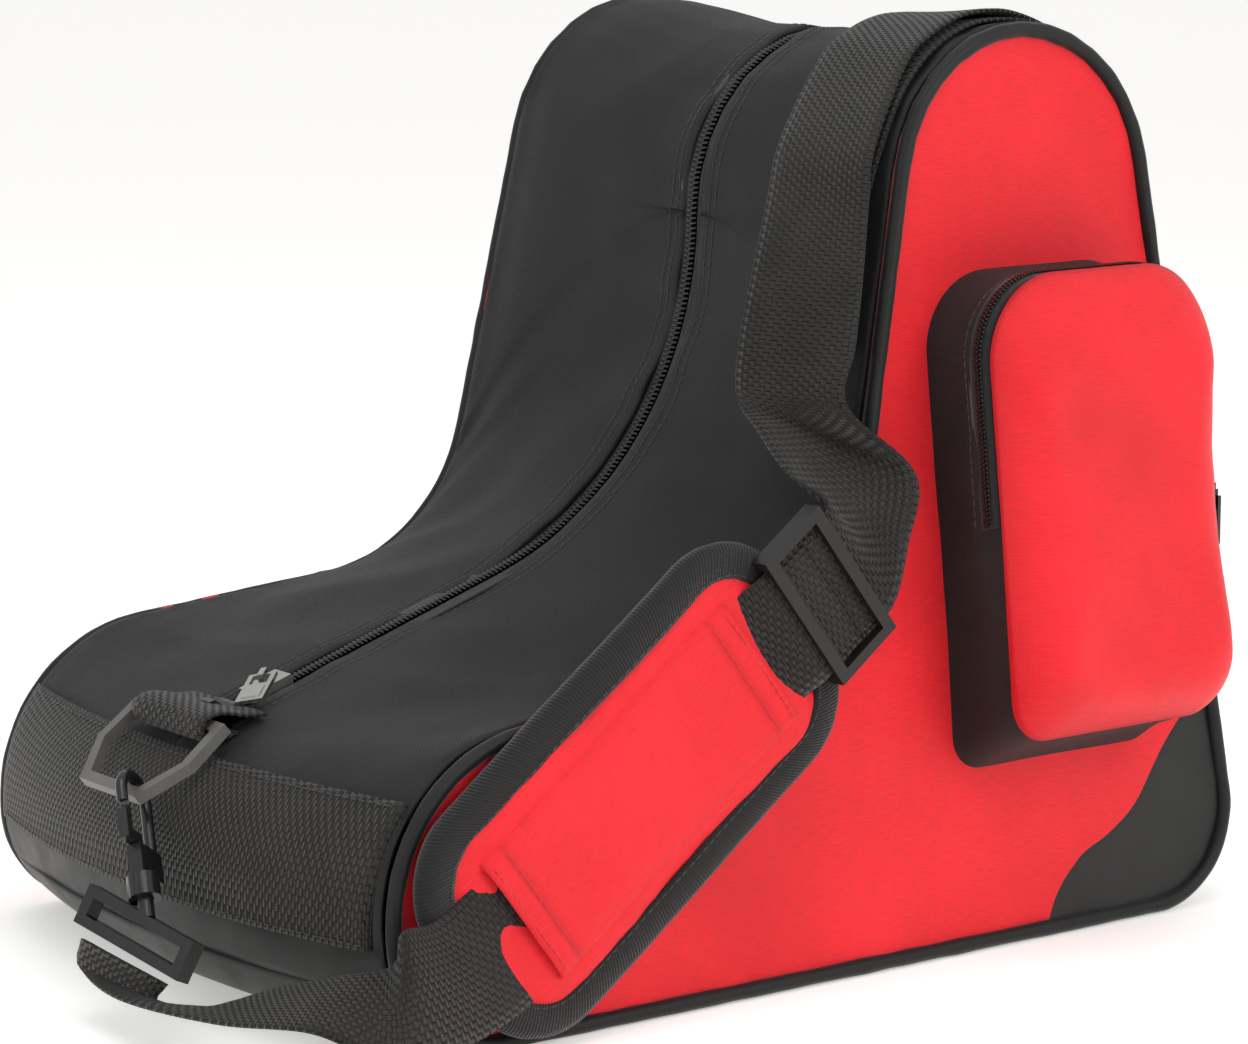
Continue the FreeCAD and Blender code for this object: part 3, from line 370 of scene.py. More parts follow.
def make_finishes(sizes, colours):
    """Makes every finish that the bag needs; pieces then pick them by name."""
    tone = hex_of
    # The fourth colour of each ripstop is the painted shade for its dents, folds and seams.
    ripstop("black_ripstop_nylon", "101110", "1d1f1e", "0a0b0b", 0.60, 0.05)
    ripstop("red_ripstop_nylon", tone(colours.red_shade), tone(colours.red), "c0141f", 0.50, 0.05)
    webbing("black_polypropylene_webbing", "080706", "2a2622", sizes.webbing_pitch)
    binding_tape("black_grosgrain_binding", "0a0909", "161515")
    cloth_cord("black_nylon_piping", "0a0a0a", "131312")
    grained("black_coated_vinyl", "111110", "191918", 0.42, 1.3 * MM, 0.06 * MM)
    ripstop("black_zip_tape", "121313", "1e1f1e", "0b0b0b", 0.66, 0.2)
    grained("black_nylon_coil", "0c0c0c", "1a1a1a", 0.24, 2.0 * MM, 0.02 * MM, 0.3)
    grained("polished_zinc", "a9aaa6", "d6d7d2", 0.24, 3.0 * MM, 0.03 * MM, 0.0, 1.0)
    grained("black_enamelled_zinc", "0c0c0c", "181818", 0.25, 3.0 * MM, 0.02 * MM, 0.6)
    grained("grey_moulded_nylon", "565451", "6a6865", 0.34, 0.9 * MM, 0.03 * MM, 0.1)
    grained("black_moulded_acetal", "131212", "201f1e", 0.26, 1.4 * MM, 0.03 * MM, 0.35)
    grained("dark_moulded_nylon", "141211", "201d1c", 0.36, 0.9 * MM, 0.03 * MM, 0.1)
    grained("black_fibreboard", "141414", "202020", 0.8, 1.0 * MM, 0.1 * MM)
    thread("black_thread", "141414", "2e2e2c")
    thread("red_thread", "9c0f1a", "d42531")


def hex_of(colour):
    """A colour property, which Blender keeps as linear numbers, as an sRGB hex value."""
    parts = []
    for c in colour[:3]:
        s = c * 12.92 if c <= 0.0031308 else 1.055 * c ** (1 / 2.4) - 0.055
        parts.append(format(round(min(max(s, 0.0), 1.0) * 255), "02x"))
    return "".join(parts)


# ---- meshes ----

def mesh_piece(name, points, faces, material, uvs=None, body="bag", crease_shade=None):
    """A smooth mesh object that rides on a body; uvs holds one (u, v) in metres for each point."""
    mesh = bpy.data.meshes.new(name)
    mesh.from_pydata([tuple(p) for p in points], [], faces)
    mesh.validate()
    layer = mesh.uv_layers.new(name="weave")
    if uvs:
        for loop in mesh.loops:
            layer.data[loop.index].uv = uvs[loop.vertex_index]
    # This attribute holds, for each point, how strongly painted shade darkens the cloth there.
    if crease_shade:
        attribute = mesh.attributes.new("crease_shade", "FLOAT", "POINT")
        attribute.data.foreach_set("value", crease_shade)
    mesh.polygons.foreach_set("use_smooth", [True] * len(mesh.polygons))
    mesh.materials.append(bpy.data.materials[material])
    thing = bpy.data.objects.new(name, mesh)
    bpy.context.collection.objects.link(thing)
    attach(thing, body)
    return thing


def quads(rows, columns, wrap_rows=False, flip=False):
    faces = []
    for r in range(rows if wrap_rows else rows - 1):
        n = (r + 1) % rows
        for c in range(columns - 1):
            face = (r * columns + c, r * columns + c + 1, n * columns + c + 1, n * columns + c)
            faces.append(face[::-1] if flip else face)
    return faces


def add_thickness(thing, thick, offset=-1.0):
    wall = thing.modifiers.new("thickness", "SOLIDIFY")
    wall.thickness = thick
    wall.offset = offset
    wall.use_even_offset = False
    return thing


def smooth_curve(points, steps):
    """A Catmull-Rom curve through the points, steps parts to each span."""
    padded = [points[0] * 2 - points[1]] + list(points) + [points[-1] * 2 - points[-2]]
    curve = []
    for i in range(1, len(padded) - 2):
        p0, p1, p2, p3 = padded[i - 1:i + 3]
        for k in range(steps):
            t = k / steps
            curve.append(0.5 * (2 * p1 + (p2 - p0) * t + (2 * p0 - 5 * p1 + 4 * p2 - p3) * t ** 2
                                + (3 * p1 - p0 - 3 * p2 + p3) * t ** 3))
    return curve + [points[-1]]


def lengths(points):
    """Running length along the points."""
    run = [0.0]
    for a, b in zip(points, points[1:]):
        run.append(run[-1] + (b - a).length)
    return run


def evenly(points, pitch, others=()):
    """The path again with a point every pitch, and other lists of the same length taken along with it."""
    run = lengths(points)
    count = max(2, round(run[-1] / pitch))
    result = [[] for _ in range(1 + len(others))]
    i = 0
    for k in range(count + 1):
        want = run[-1] * k / count
        while i < len(run) - 2 and run[i + 1] < want:
            i += 1
        share = (want - run[i]) / max(run[i + 1] - run[i], 1e-9)
        for kept, source in zip(result, (points, *others)):
            kept.append(source[i] + (source[i + 1] - source[i]) * share)
    return result if others else result[0]


def tube(name, path, radius, material, body="bag", sides=12, closed=False, squash=1.0, wobble=0.0):
    """A round cord along the path; wobble is how far its radius strays, as a share."""
    points, uvs = [], []
    run = lengths(path)
    count = len(path)
    up = Vector((0, 0, 1))
    for i, p in enumerate(path):
        before = path[(i - 1) % count] if closed else path[max(i - 1, 0)]
        after = path[(i + 1) % count] if closed else path[min(i + 1, count - 1)]
        along = (after - before).normalized()
        side = along.cross(Vector((0, 1, 0)))
        side = (side if side.length > 0.2 else along.cross(up)).normalized()
        over = along.cross(side)
        r = radius * (1 + wobble * noise.noise(p * 90))
        for k in range(sides):
            a = 2 * math.pi * k / sides
            points.append(p + side * math.cos(a) * r + over * math.sin(a) * r * squash)
            uvs.append((run[i], radius * a))
    faces = []
    for i in range(count if closed else count - 1):
        n = (i + 1) % count
        for k in range(sides):
            m = (k + 1) % sides
            faces.append((i * sides + k, i * sides + m, n * sides + m, n * sides + k))
    if not closed:
        faces += [tuple(range(sides))[::-1], tuple((count - 1) * sides + k for k in range(sides))]
    return mesh_piece(name, points, faces, material, uvs, body)


def strap(name, stations, thick, material, body="bag", pitch=3 * MM, curl=0.0, columns=11):
    """Webbing through pairs of edge points, smooth along its length, with a slight curl across it."""
    left = smooth_curve([a for a, _ in stations], 8)
    right = smooth_curve([b for _, b in stations], 8)
    middle = [(a + b) * 0.5 for a, b in zip(left, right)]
    middle, left, right = evenly(middle, pitch, (left, right))
    run = lengths(middle)
    width = sum((b - a).length for a, b in zip(left, right)) / len(left)
    top, under, uvs = [], [], []
    for i, (a, b) in enumerate(zip(left, right)):
        i0, i1 = max(i - 1, 0), min(i + 1, len(left) - 1)
        out_a = (left[i1] - left[i0]).cross(b - a).normalized()
        out_b = (right[i1] - right[i0]).cross(b - a).normalized()
        for c in range(columns):
            share = c / (columns - 1)
            out = (out_a * (1 - share) + out_b * share).normalized()
            arch = curl * (1 - (2 * share - 1) ** 2)
            edge = 1 - 0.45 * abs(2 * share - 1) ** 8
            middle_point = a + (b - a) * share + out * arch
            top.append(middle_point + out * thick * 0.5 * edge)
            under.append(middle_point - out * thick * 0.5 * edge)
            uvs.append((share * width, run[i]))
    rows = len(left)
    shift = rows * columns
    faces = quads(rows, columns, flip=True)
    faces += [tuple(v + shift for v in f)[::-1] for f in faces]
    for i in range(rows - 1):
        for c, turn in ((0, 1), (columns - 1, -1)):
            k, n = i * columns + c, (i + 1) * columns + c
            faces.append((k, k + shift, n + shift, n)[::turn])
    for r, turn in ((0, -1), (rows - 1, 1)):
        for c in range(columns - 1):
            k = r * columns + c
            faces.append((k, k + 1, k + 1 + shift, k + shift)[::turn])
    piece = mesh_piece(name, top + under, faces, material, uvs + uvs, body)
    return piece


def beads(name, places, radius, material, body="bag", sides=7):
    """Many small rounded rods in one mesh: each place is the rod's two ends."""
    points, faces = [], []
    profile = ((0.0, 0.35), (0.12, 0.85), (0.3, 1.0), (0.7, 1.0), (0.88, 0.85), (1.0, 0.35))
    for a, b in places:
        along = (b - a).normalized()
        side = along.cross(Vector((0.31, 0.52, 0.79))).normalized()
        over = along.cross(side)
        start = len(points)
        for share, size in profile:
            centre = a + (b - a) * share
            for k in range(sides):
                turn = 2 * math.pi * k / sides
                points.append(centre + (side * math.cos(turn) + over * math.sin(turn)) * radius * size)
        for ring in range(len(profile) - 1):
            for k in range(sides):
                m = (k + 1) % sides
                base = start + ring * sides
                faces.append((base + k, base + m, base + sides + m, base + sides + k))
        faces.append(tuple(start + k for k in range(sides))[::-1])
        faces.append(tuple(start + (len(profile) - 1) * sides + k for k in range(sides)))
    return mesh_piece(name, points, faces, material, None, body)


def stitches(name, path, normals, material, body="bag", long=3.0 * MM, gap=1.0 * MM, radius=0.32 * MM):
    """A row of lockstitches lying on a surface along a path."""
    dense, outs = evenly(path, 0.5 * MM, (normals,))
    step = round((long + gap) / (0.5 * MM))
    reach = round(long / (0.5 * MM))
    places = []
    for i in range(0, len(dense) - reach, step):
        out_a, out_b = outs[i].normalized(), outs[i + reach].normalized()
        places.append((dense[i] + out_a * radius * 0.4, dense[i + reach] + out_b * radius * 0.4))
    return beads(name, places, radius, material, body, 6)


def dress(node, material):
    """Gives a frame node its finish."""
    thing = frame["nodes"][node]
    thing.data.materials.clear()
    thing.data.materials.append(bpy.data.materials[material])


# ---- the shell's skin ----

def loop_of(spans):
    """Spans joined into one closed list, without the repeated ends."""
    points = []
    for span in spans:
        points += span[:-1]
    return points


def paired_outline(pitch):
    """The seam's outline and the middle's outline, matched point by point and evenly spaced."""
    seam = loop_of(rounded(SEAM, SEAM_RADII))
    middle = loop_of(rounded(MIDDLE, MIDDLE_RADII))
    seam.append(seam[0])
    middle.append(middle[0])
    a = [Vector((x, 0, z)) for x, z in seam]
    b = [Vector((x, 0, z)) for x, z in middle]
    both = [(p + q) * 0.5 for p, q in zip(a, b)]
    _, a, b = evenly(both, pitch, (a, b))
    return a[:-1], b[:-1]


PITCH = 3.4 * MM
SEAM_LINE, MIDDLE_LINE = paired_outline(PITCH)
AROUND = len(SEAM_LINE)


def on_line(line, i):
    """The point at station i, which may lie between two whole stations."""
    whole = math.floor(i)
    a, b = line[whole % AROUND], line[(whole + 1) % AROUND]
    return a + (b - a) * (i - whole)


def seam_point(i):
    flat = on_line(SEAM_LINE, i)
    return panel_point(flat.x, flat.z, -0.3 * MM)


def skin_point(i, y_share):
    """A point on the gusset: station i round the outline, y_share -1 at the near seam and 1 at the far seam."""
    seam = seam_point(i)
    middle = on_line(MIDDLE_LINE, i)
    share = y_share * y_share
    return Vector((middle.x + (seam.x - middle.x) * share, -seam.y * y_share, middle.z + (seam.z - middle.z) * share))


def skin_half(i):
    return -seam_point(i).y


def skin_normal(i, y_share):
    along = skin_point(i + 0.7, y_share) - skin_point(i - 0.7, y_share)
    across = skin_point(i, min(y_share + 0.02, 1)) - skin_point(i, max(y_share - 0.02, -1))
    return across.cross(along).normalized()


def level(z, y_share, lowest, highest):
    """The station between two others where the skin crosses height z."""
    rising = skin_point(highest, y_share).z > skin_point(lowest, y_share).z
    for _ in range(24):
        half_way = (lowest + highest) * 0.5
        if (skin_point(half_way, y_share).z < z) == rising:
            lowest = half_way
        else:
            highest = half_way
    return (lowest + highest) * 0.5


def folds(i, y, half, depth):
    """How far the gusset's cloth stands off its plain shape: soft dents, puckers at the seams and along the zip."""
    place = on_line(MIDDLE_LINE, i)
    s = i * PITCH
    seam = min(half - abs(y), 0.2)
    fade = min(1.0, seam / (22 * MM))
    fade = fade * fade * (3 - 2 * fade)
    broad = noise.noise(Vector((place.x * 9, y * 13, place.z * 9 + 3.1)))
    drawn = noise.noise(Vector((place.x * 24 + y * 9, y * 22, place.z * 24)))
    ridge = 1 - abs(noise.noise(Vector((place.x * 17 - 4, y * 11 + place.z * 8, place.z * 17)))) * 2.2
    pucker_seam = math.exp(-seam / (9 * MM)) * noise.noise(Vector((s * 95, 7.0 + y * 3, 0.4)))
    from_zip = abs(y) - 10 * MM
    pucker_zip = math.exp(-abs(from_zip) / (14 * MM)) * noise.noise(Vector((s * 70, 3 + (y > 0), 9.4)))
    return depth * (fade * (1.0 * broad + 0.45 * drawn + 0.35 * max(ridge, 0) - 0.1)
                    + 0.55 * pucker_seam * min(1, seam / (3 * MM))
                    + 0.42 * pucker_zip)


def skin_patch(name, first, last, y_from, y_to, material, lift=0.0, depth=0.0, columns=34, thick=2.4 * MM,
               uv_turn=False):
    """A panel of the gusset between stations first and last, each a function of the share of the way to the seam."""
    points, uvs, crease_shade = [], [], []
    rows = max(4, round(abs(last(0.0) - first(0.0)) * 1.1))
    for r in range(rows + 1):
        rough = first(0.0) + (last(0.0) - first(0.0)) * r / rows
        a, b = y_from(rough), y_to(rough)
        for c in range(columns):
            y = a + (b - a) * c / (columns - 1)
            share = max(-1.0, min(1.0, y / skin_half(rough)))
            i = first(share) + (last(share) - first(share)) * r / rows
            half = skin_half(i)
            share = max(-1.0, min(1.0, y / half))
            off = lift + (folds(i, y, half, depth) if depth else 0.0)
            points.append(skin_point(i, share) + skin_normal(i, share) * off)
            place = (y, i * PITCH)
            uvs.append(place[::-1] if uv_turn else place)
            # Painted shade: the cloth is darkened where it dents in and within a few millimetres of its seams.
            dent = min(1.0, max(0.0, -off / (2.2 * MM))) if depth else 0.0
            edge = math.exp(-max(half - abs(y), 0) / (3 * MM))
            crease_shade.append(0.5 * dent + 0.5 * edge)
    piece = mesh_piece(name, points, quads(rows + 1, columns), material, uvs, "bag", crease_shade)
    return add_thickness(piece, thick)


def station_near(x, z, line=MIDDLE_LINE):
    """The station whose middle point is nearest to x, z."""
    spot = Vector((x, 0, z))
    return min(range(AROUND), key=lambda i: (line[i] - spot).length)


# ---- the object's own settings ----

class BagSizes(bpy.types.PropertyGroup):
    """Sizes that change the bag's look."""
    fold_depth: FloatProperty(name="Fold depth", description="How deep the gusset's soft folds are",
                              default=3.6 * MM, unit="LENGTH")
    panel_depth: FloatProperty(name="Panel dents", description="How deep the dents in the red panels are",
                               default=1.6 * MM, unit="LENGTH")
    coil_pitch: FloatProperty(name="Coil pitch", description="From one turn of the zip's coil to the next",
                              default=2.0 * MM, unit="LENGTH")
    stitch_long: FloatProperty(name="Stitch length", description="Length of one visible stitch",
                               default=3.0 * MM, unit="LENGTH")
    webbing_pitch: FloatProperty(name="Webbing rib", description="From one rib of the webbing to the next",
                                 default=2.6 * MM, unit="LENGTH")
    lens: FloatProperty(name="Lens", description="Focal length of the camera", default=129.8)


class BagColours(bpy.types.PropertyGroup):
    """Colours of the bag and its stage."""
    red: FloatVectorProperty(name="Red nylon", description="The red cloth where it is lit", subtype="COLOR",
                             size=3, default=linear("ee1d29")[:3], min=0, max=1)
    red_shade: FloatVectorProperty(name="Red shade", description="The red cloth's darker patches",
                                   subtype="COLOR", size=3, default=linear("dd1520")[:3], min=0, max=1)
    floor: FloatVectorProperty(name="Floor", description="The stage's floor", subtype="COLOR", size=3,
                               default=linear("f4f3f1")[:3], min=0, max=1)


def sizes():
    return bpy.context.scene.bag_sizes


def colours():
    return bpy.context.scene.bag_colours


class BAG_OT_finishes(bpy.types.Operator):
    """Makes the bag's finishes"""
    bl_idname = "bag.finishes"
    bl_label = "Finishes"

    def execute(self, context):
        make_finishes(sizes(), colours())
        return {"FINISHED"}


# ---- gusset ----

TOE_FRONT = (station_near(-150 * MM, 113 * MM), AROUND + 22)
HEEL_BACK = (126, station_near(160 * MM, 290 * MM))
ZIP_LOW = level(ZIP_END_Z, 0.0, *HEEL_BACK)
ZIP_HIGH = min(range(AROUND // 2, AROUND - 4), key=lambda i: abs(MIDDLE_LINE[i].x - ZIP_START_X))


def toe_at(z):
    """Stations on the toe at height z, for any share of the way to the seam."""
    return lambda share: level(z, share, *TOE_FRONT)


def heel_at(z):
    return lambda share: level(z, share, *HEEL_BACK)


def zip_opening(i):
    """Half the width between the gusset's folded edges at a station, which closes at the zip's two ends."""
    from_end = min(i - ZIP_LOW, ZIP_HIGH - i) * PITCH
    return 5.6 * MM * max(0.0, min(1.0, (from_end + 6 * MM) / (6 * MM)))


def to_near_seam(i):
    return -skin_half(i)


class BAG_OT_gusset(bpy.types.Operator):
    """Builds the black gusset in two halves, the toe and back panels and the base"""
    bl_idname = "bag.gusset"
    bl_label = "Gusset"

    def execute(self, context):
        depth = sizes().fold_depth
        top, bottom = heel_at(ZIP_END_Z - 2 * MM), toe_at(TOE_SEAM_Z - 4 * MM)
        near = skin_patch("gusset_near_cloth", top, bottom, to_near_seam, lambda i: -zip_opening(i),
                          "black_ripstop_nylon", 0.4 * MM, depth, 38)
        far = skin_patch("gusset_far_cloth", top, bottom, zip_opening, skin_half,
                         "black_ripstop_nylon", 0.4 * MM, depth, 38)
        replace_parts(near, "gusset_near")
        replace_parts(far, "gusset_far")
        back = skin_patch("back_cloth", heel_at(BASE_TURN_UP), heel_at(ZIP_END_Z + 2 * MM), to_near_seam,
                          skin_half, "black_ripstop_nylon", 0.0, depth * 0.7, 60)
        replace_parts(back, "back_panel")
        toe = skin_patch("toe_cloth", toe_at(TOE_SEAM_Z), toe_at(BASE_TURN_UP), to_near_seam, skin_half,
                         "black_coated_vinyl", 0.0, depth * 0.35, 60)
        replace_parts(toe, "toe_panel")
        below = toe_at(BASE_TURN_UP - 0.5 * MM)
        base = skin_patch("base_cloth", lambda share: below(share) - AROUND, heel_at(BASE_TURN_UP),
                          to_near_seam, skin_half, "black_coated_vinyl", 0.0, 0.0, 40)
        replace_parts(base, "base_panel")
        dress("base_board", "black_fibreboard")
        return {"FINISHED"}


# ---- red side panels ----

PANEL_CENTRE = Vector((95 * MM, 0, 85 * MM))
PANEL_REACH = 0.992        # share of the way to the gusset's outside


def panel_patch(name, side, material, depth):
    """A side panel as rings from its middle out to the seam; side is -1 near and 1 far."""
    rings = 58
    points, uvs, crease_shade = [], [], []
    for r in range(rings + 1):
        share = (r / rings) ** 0.8
        for i in range(AROUND):
            seam = SEAM_LINE[i]
            flat = PANEL_CENTRE + (seam - PANEL_CENTRE) * (share * PANEL_REACH)
            edge = (1 - share) * (seam - PANEL_CENTRE).length
            dent = panel_dent(flat, edge, side, depth)
            spot = panel_point(flat.x, flat.z, dent)
            points.append(Vector((spot.x, -spot.y * side, spot.z)))
            uvs.append((flat.x, flat.z))
            # Painted shade: darker where the panel dents in and along its seam beside the piping.
            crease_shade.append(min(1.0, max(0.0, -dent / (1.3 * MM)) * 0.55 + 0.6 * math.exp(-edge / (4 * MM))))
    faces = []
    for r in range(rings):
        for i in range(AROUND):
            n = (i + 1) % AROUND
            face = (r * AROUND + i, r * AROUND + n, (r + 1) * AROUND + n, (r + 1) * AROUND + i)
            faces.append(face[::-1] if side > 0 else face)
    piece = mesh_piece(name, points, faces, material, uvs, "bag", crease_shade)
    bm = bmesh.new()
    bm.from_mesh(piece.data)
    bmesh.ops.remove_doubles(bm, verts=bm.verts, dist=0.01 * MM)
    bm.to_mesh(piece.data)
    bm.free()
    return add_thickness(piece, 2.4 * MM)


def panel_dent(flat, edge, side, depth):
    """How far a side panel's cloth stands off its plane."""
    fade = min(1.0, edge / (30 * MM))
    fade = fade * fade * (3 - 2 * fade)
    broad = noise.noise(Vector((flat.x * 8 + side * 5, flat.z * 8, 1.7)))
    drawn = noise.noise(Vector((flat.x * 26, flat.z * 17 + flat.x * 12, 4.0 + side)))
    ridge = 1 - abs(noise.noise(Vector((flat.x * 15 + flat.z * 9, flat.z * 15 - 3, 8.2)))) * 2.4
    pucker = math.exp(-edge / (10 * MM)) * noise.noise(Vector((flat.x * 80, flat.z * 80, 2.0)))
    return depth * (fade * (0.9 * broad + 0.35 * drawn + 0.3 * max(ridge, 0))
                    + 0.4 * pucker * min(1, edge / (4 * MM)))


def patch_edge(inset, count):
    """The S-shaped front edge of a heel patch, from the back seam down to the base."""
    heel = HEEL_REACH
    knots = [(heel - 10 * MM, 90 * MM), (heel - 28 * MM, 82 * MM), (heel - 46 * MM, 67 * MM),
             (heel - 60 * MM, 48 * MM),
             (heel - 74 * MM, 38 * MM), (heel - 90 * MM, 30 * MM), (heel - 101 * MM, 16 * MM), (heel - 106 * MM, 0.0)]
    line = evenly(smooth_curve([Vector((x, 0, z)) for x, z in knots], 8), 0.001)
    moved = []
    for a, b in zip(line, line[1:]):
        way = (b - a).normalized()
        moved.append(a + Vector((-way.z, 0, way.x)) * inset)
    step = (len(moved) - 1) / (count - 1)
    return [(moved[round(k * step)].x, moved[round(k * step)].z) for k in range(count)]


def patch_point(x, z, side, depth, lift):
    flat = Vector((x, 0, z))
    edge = min((SEAM_LINE[i] - flat).length for i in range(0, AROUND, 4))
    place = panel_point(x, z, panel_dent(flat, edge, side, depth) + lift)
    return Vector((place.x, -place.y * side, place.z))


def heel_patch(name, side, depth):
    """Vinyl sewn over the heel corner of a side panel."""
    count, rows = 90, 26
    front = patch_edge(0.0, count)
    first = min(range(AROUND), key=lambda i: (SEAM_LINE[i] - Vector((HEEL_REACH - 16 * MM, 0, 90 * MM))).length)
    last = min(range(AROUND), key=lambda i: (SEAM_LINE[i] - Vector((HEEL_REACH - 106 * MM, 0, 0))).length)
    points, uvs = [], []
    for k in range(count):
        seam = on_line(SEAM_LINE, first + (last - first) * k / (count - 1))
        seam = PANEL_CENTRE + (seam - PANEL_CENTRE) * PANEL_REACH
        for r in range(rows + 1):
            share = r / rows
            x = front[k][0] + (seam.x - front[k][0]) * share
            z = front[k][1] + (seam.z - front[k][1]) * share
            points.append(patch_point(x, z, side, depth, 1.5 * MM * min(1.0, 0.4 + share * 12)))
            uvs.append((x, z))
    piece = mesh_piece(name, points, quads(count, rows + 1, flip=side > 0), "black_coated_vinyl", uvs)
    return add_thickness(piece, 1.0 * MM)


class BAG_OT_side_panels(bpy.types.Operator):
    """Builds the two red side panels, their piping and heel patches"""
    bl_idname = "bag.side_panels"
    bl_label = "Side panels"

    def execute(self, context):
        for end, side in (("near", -1), ("far", 1)):
            panel = panel_patch("side_" + end + "_cloth", side, "red_ripstop_nylon", sizes().panel_depth)
            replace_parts(panel, "side_panel_" + end)
            path = []
            for x, z in loop_of(rounded(SEAM, SEAM_RADII, 3 * MM)):
                spot = panel_point(x, z, 2.6 * MM)
                path.append(Vector((spot.x, -spot.y * side, spot.z)))
            path = evenly(path + [path[0]], 3 * MM)[:-1]
            cord = tube("piping_" + end + "_cord", path, 3.05 * MM, "black_nylon_piping", sides=14, closed=True,
                        wobble=0.10)
            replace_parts(cord, "piping_" + end)
            patch = heel_patch("heel_patch_" + end + "_vinyl", side, sizes().panel_depth)
            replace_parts(patch, "heel_patch_" + end)
            row = [patch_point(x, z, side, sizes().panel_depth, 1.9 * MM) for x, z in patch_edge(4.0 * MM, 80)]
            out = [Vector((0, math.cos(LEAN) * side, math.sin(LEAN)))] * len(row)
            stitches("heel_patch_stitches_" + end, row, out, "black_thread", radius=0.27 * MM)
        return {"FINISHED"}


# ---- stage ----

class BAG_OT_stage(bpy.types.Operator):
    """Sets the pale floor, the soft lights and the camera"""
    bl_idname = "bag.stage"
    bl_label = "Stage"

    def execute(self, context):
        material, tree = new_material("pale_floor")
        finish_surface(tree, {"Base Color": (*colours().floor, 1.0), "Roughness": 0.7,
                              "Emission Color": (*colours().floor, 1.0), "Emission Strength": 0.42}, {})
        bpy.ops.mesh.primitive_plane_add(size=14, location=(0, 0, -0.2 * MM))
        floor = bpy.context.object
        floor.name = "floor"
        floor.data.materials.append(material)
        world = bpy.data.worlds.new("studio")
        world.use_nodes = True
        tree = world.node_tree
        tree.nodes.clear()
        light = add(tree, "ShaderNodeBackground", {"Color": linear("ffffff"), "Strength": 0.62})
        backdrop = add(tree, "ShaderNodeBackground", {"Color": linear("ffffff"), "Strength": 1.0})
        seen = add(tree, "ShaderNodeLightPath").outputs["Is Camera Ray"]
        both = add(tree, "ShaderNodeMixShader", {}, {0: seen, 1: light.outputs[0], 2: backdrop.outputs[0]})
        add(tree, "ShaderNodeOutputWorld", {}, {"Surface": both.outputs[0]})
        bpy.context.scene.world = world
        for name, place, aim, size, power in (
                ("key", (0.5, -1.7, 1.1), (0.05, 0, 0.15), 1.1, 15.0),
                ("top", (-0.35, -0.3, 1.9), (0, 0, 0.15), 1.3, 11.0),
                ("toe_side", (-1.9, -0.2, 0.9), (0, 0, 0.15), 1.0, 6.0)):
            lamp = bpy.data.lights.new(name, "AREA")
            lamp.size = size
            lamp.energy = power
            thing = bpy.data.objects.new(name, lamp)
            thing.location = place
            thing.rotation_euler = (Vector(place) - Vector(aim)).to_track_quat("Z", "Y").to_euler()
            bpy.context.collection.objects.link(thing)
        camera = bpy.data.cameras.new("camera")
        camera.lens = sizes().lens
        camera.sensor_width = 36.0
        camera.clip_end = 60.0
        viewer = bpy.data.objects.new("camera", camera)
        viewer.location = (-1.052, -1.3963, 0.456)
        turn, rise = math.radians(-37.0111), math.radians(9.7669)
        back = Vector((math.sin(turn) * math.cos(rise), -math.cos(turn) * math.cos(rise), math.sin(rise)))
        viewer.rotation_euler = back.to_track_quat("Z", "Y").to_euler()
        bpy.context.collection.objects.link(viewer)
        bpy.context.scene.camera = viewer
        bpy.context.scene.view_settings.view_transform = "Standard"
        return {"FINISHED"}


# ---- the rest of the frame's finishes ----

class BAG_OT_hardware(bpy.types.Operator):
    """Gives the rings, hooks, sliders and pulls their finishes"""
    bl_idname = "bag.hardware"
    bl_label = "Hardware"

    def execute(self, context):
        for end in ("front", "rear"):
            dress("dring_" + end, "grey_moulded_nylon")
            for part in ("hook_", "hook_gate_", "hook_base_"):
                dress(part + end, "black_moulded_acetal")
        dress("strap_adjuster", "dark_moulded_nylon")
        for node in ("zip_slider", "zip_pull"):
            dress(node, "polished_zinc")
        for node in ("end_slider", "end_pull", "pocket_slider", "pocket_pull"):
            dress(node, "black_enamelled_zinc")
        return {"FINISHED"}


# ---- zip ----

def zip_path():
    """The zip's middle line and which way is out, from its toe end over the top to its heel end."""
    path, outs = [], []
    steps = 400
    for k in range(steps + 1):
        i = ZIP_HIGH + (ZIP_LOW - ZIP_HIGH) * k / steps
        path.append(skin_point(i, 0.0))
        outs.append(skin_normal(i, 0.0))
    return path, outs


def beside_zip(y):
    """The line on the gusset at y beside the zip, and which way is out, as the gusset's folds leave it."""
    path, outs = [], []
    depth = sizes().fold_depth
    for k in range(401):
        i = ZIP_HIGH + (ZIP_LOW - ZIP_HIGH) * k / 400
        half = skin_half(i)
        out = skin_normal(i, y / half)
        wander = 0.5 * MM * noise.noise(Vector((i * 0.11, y * 60, 2)))
        share = (y + wander) / half
        path.append(skin_point(i, share) + out * (0.4 * MM + folds(i, y, half, depth)))
        outs.append(out)
    return path, outs


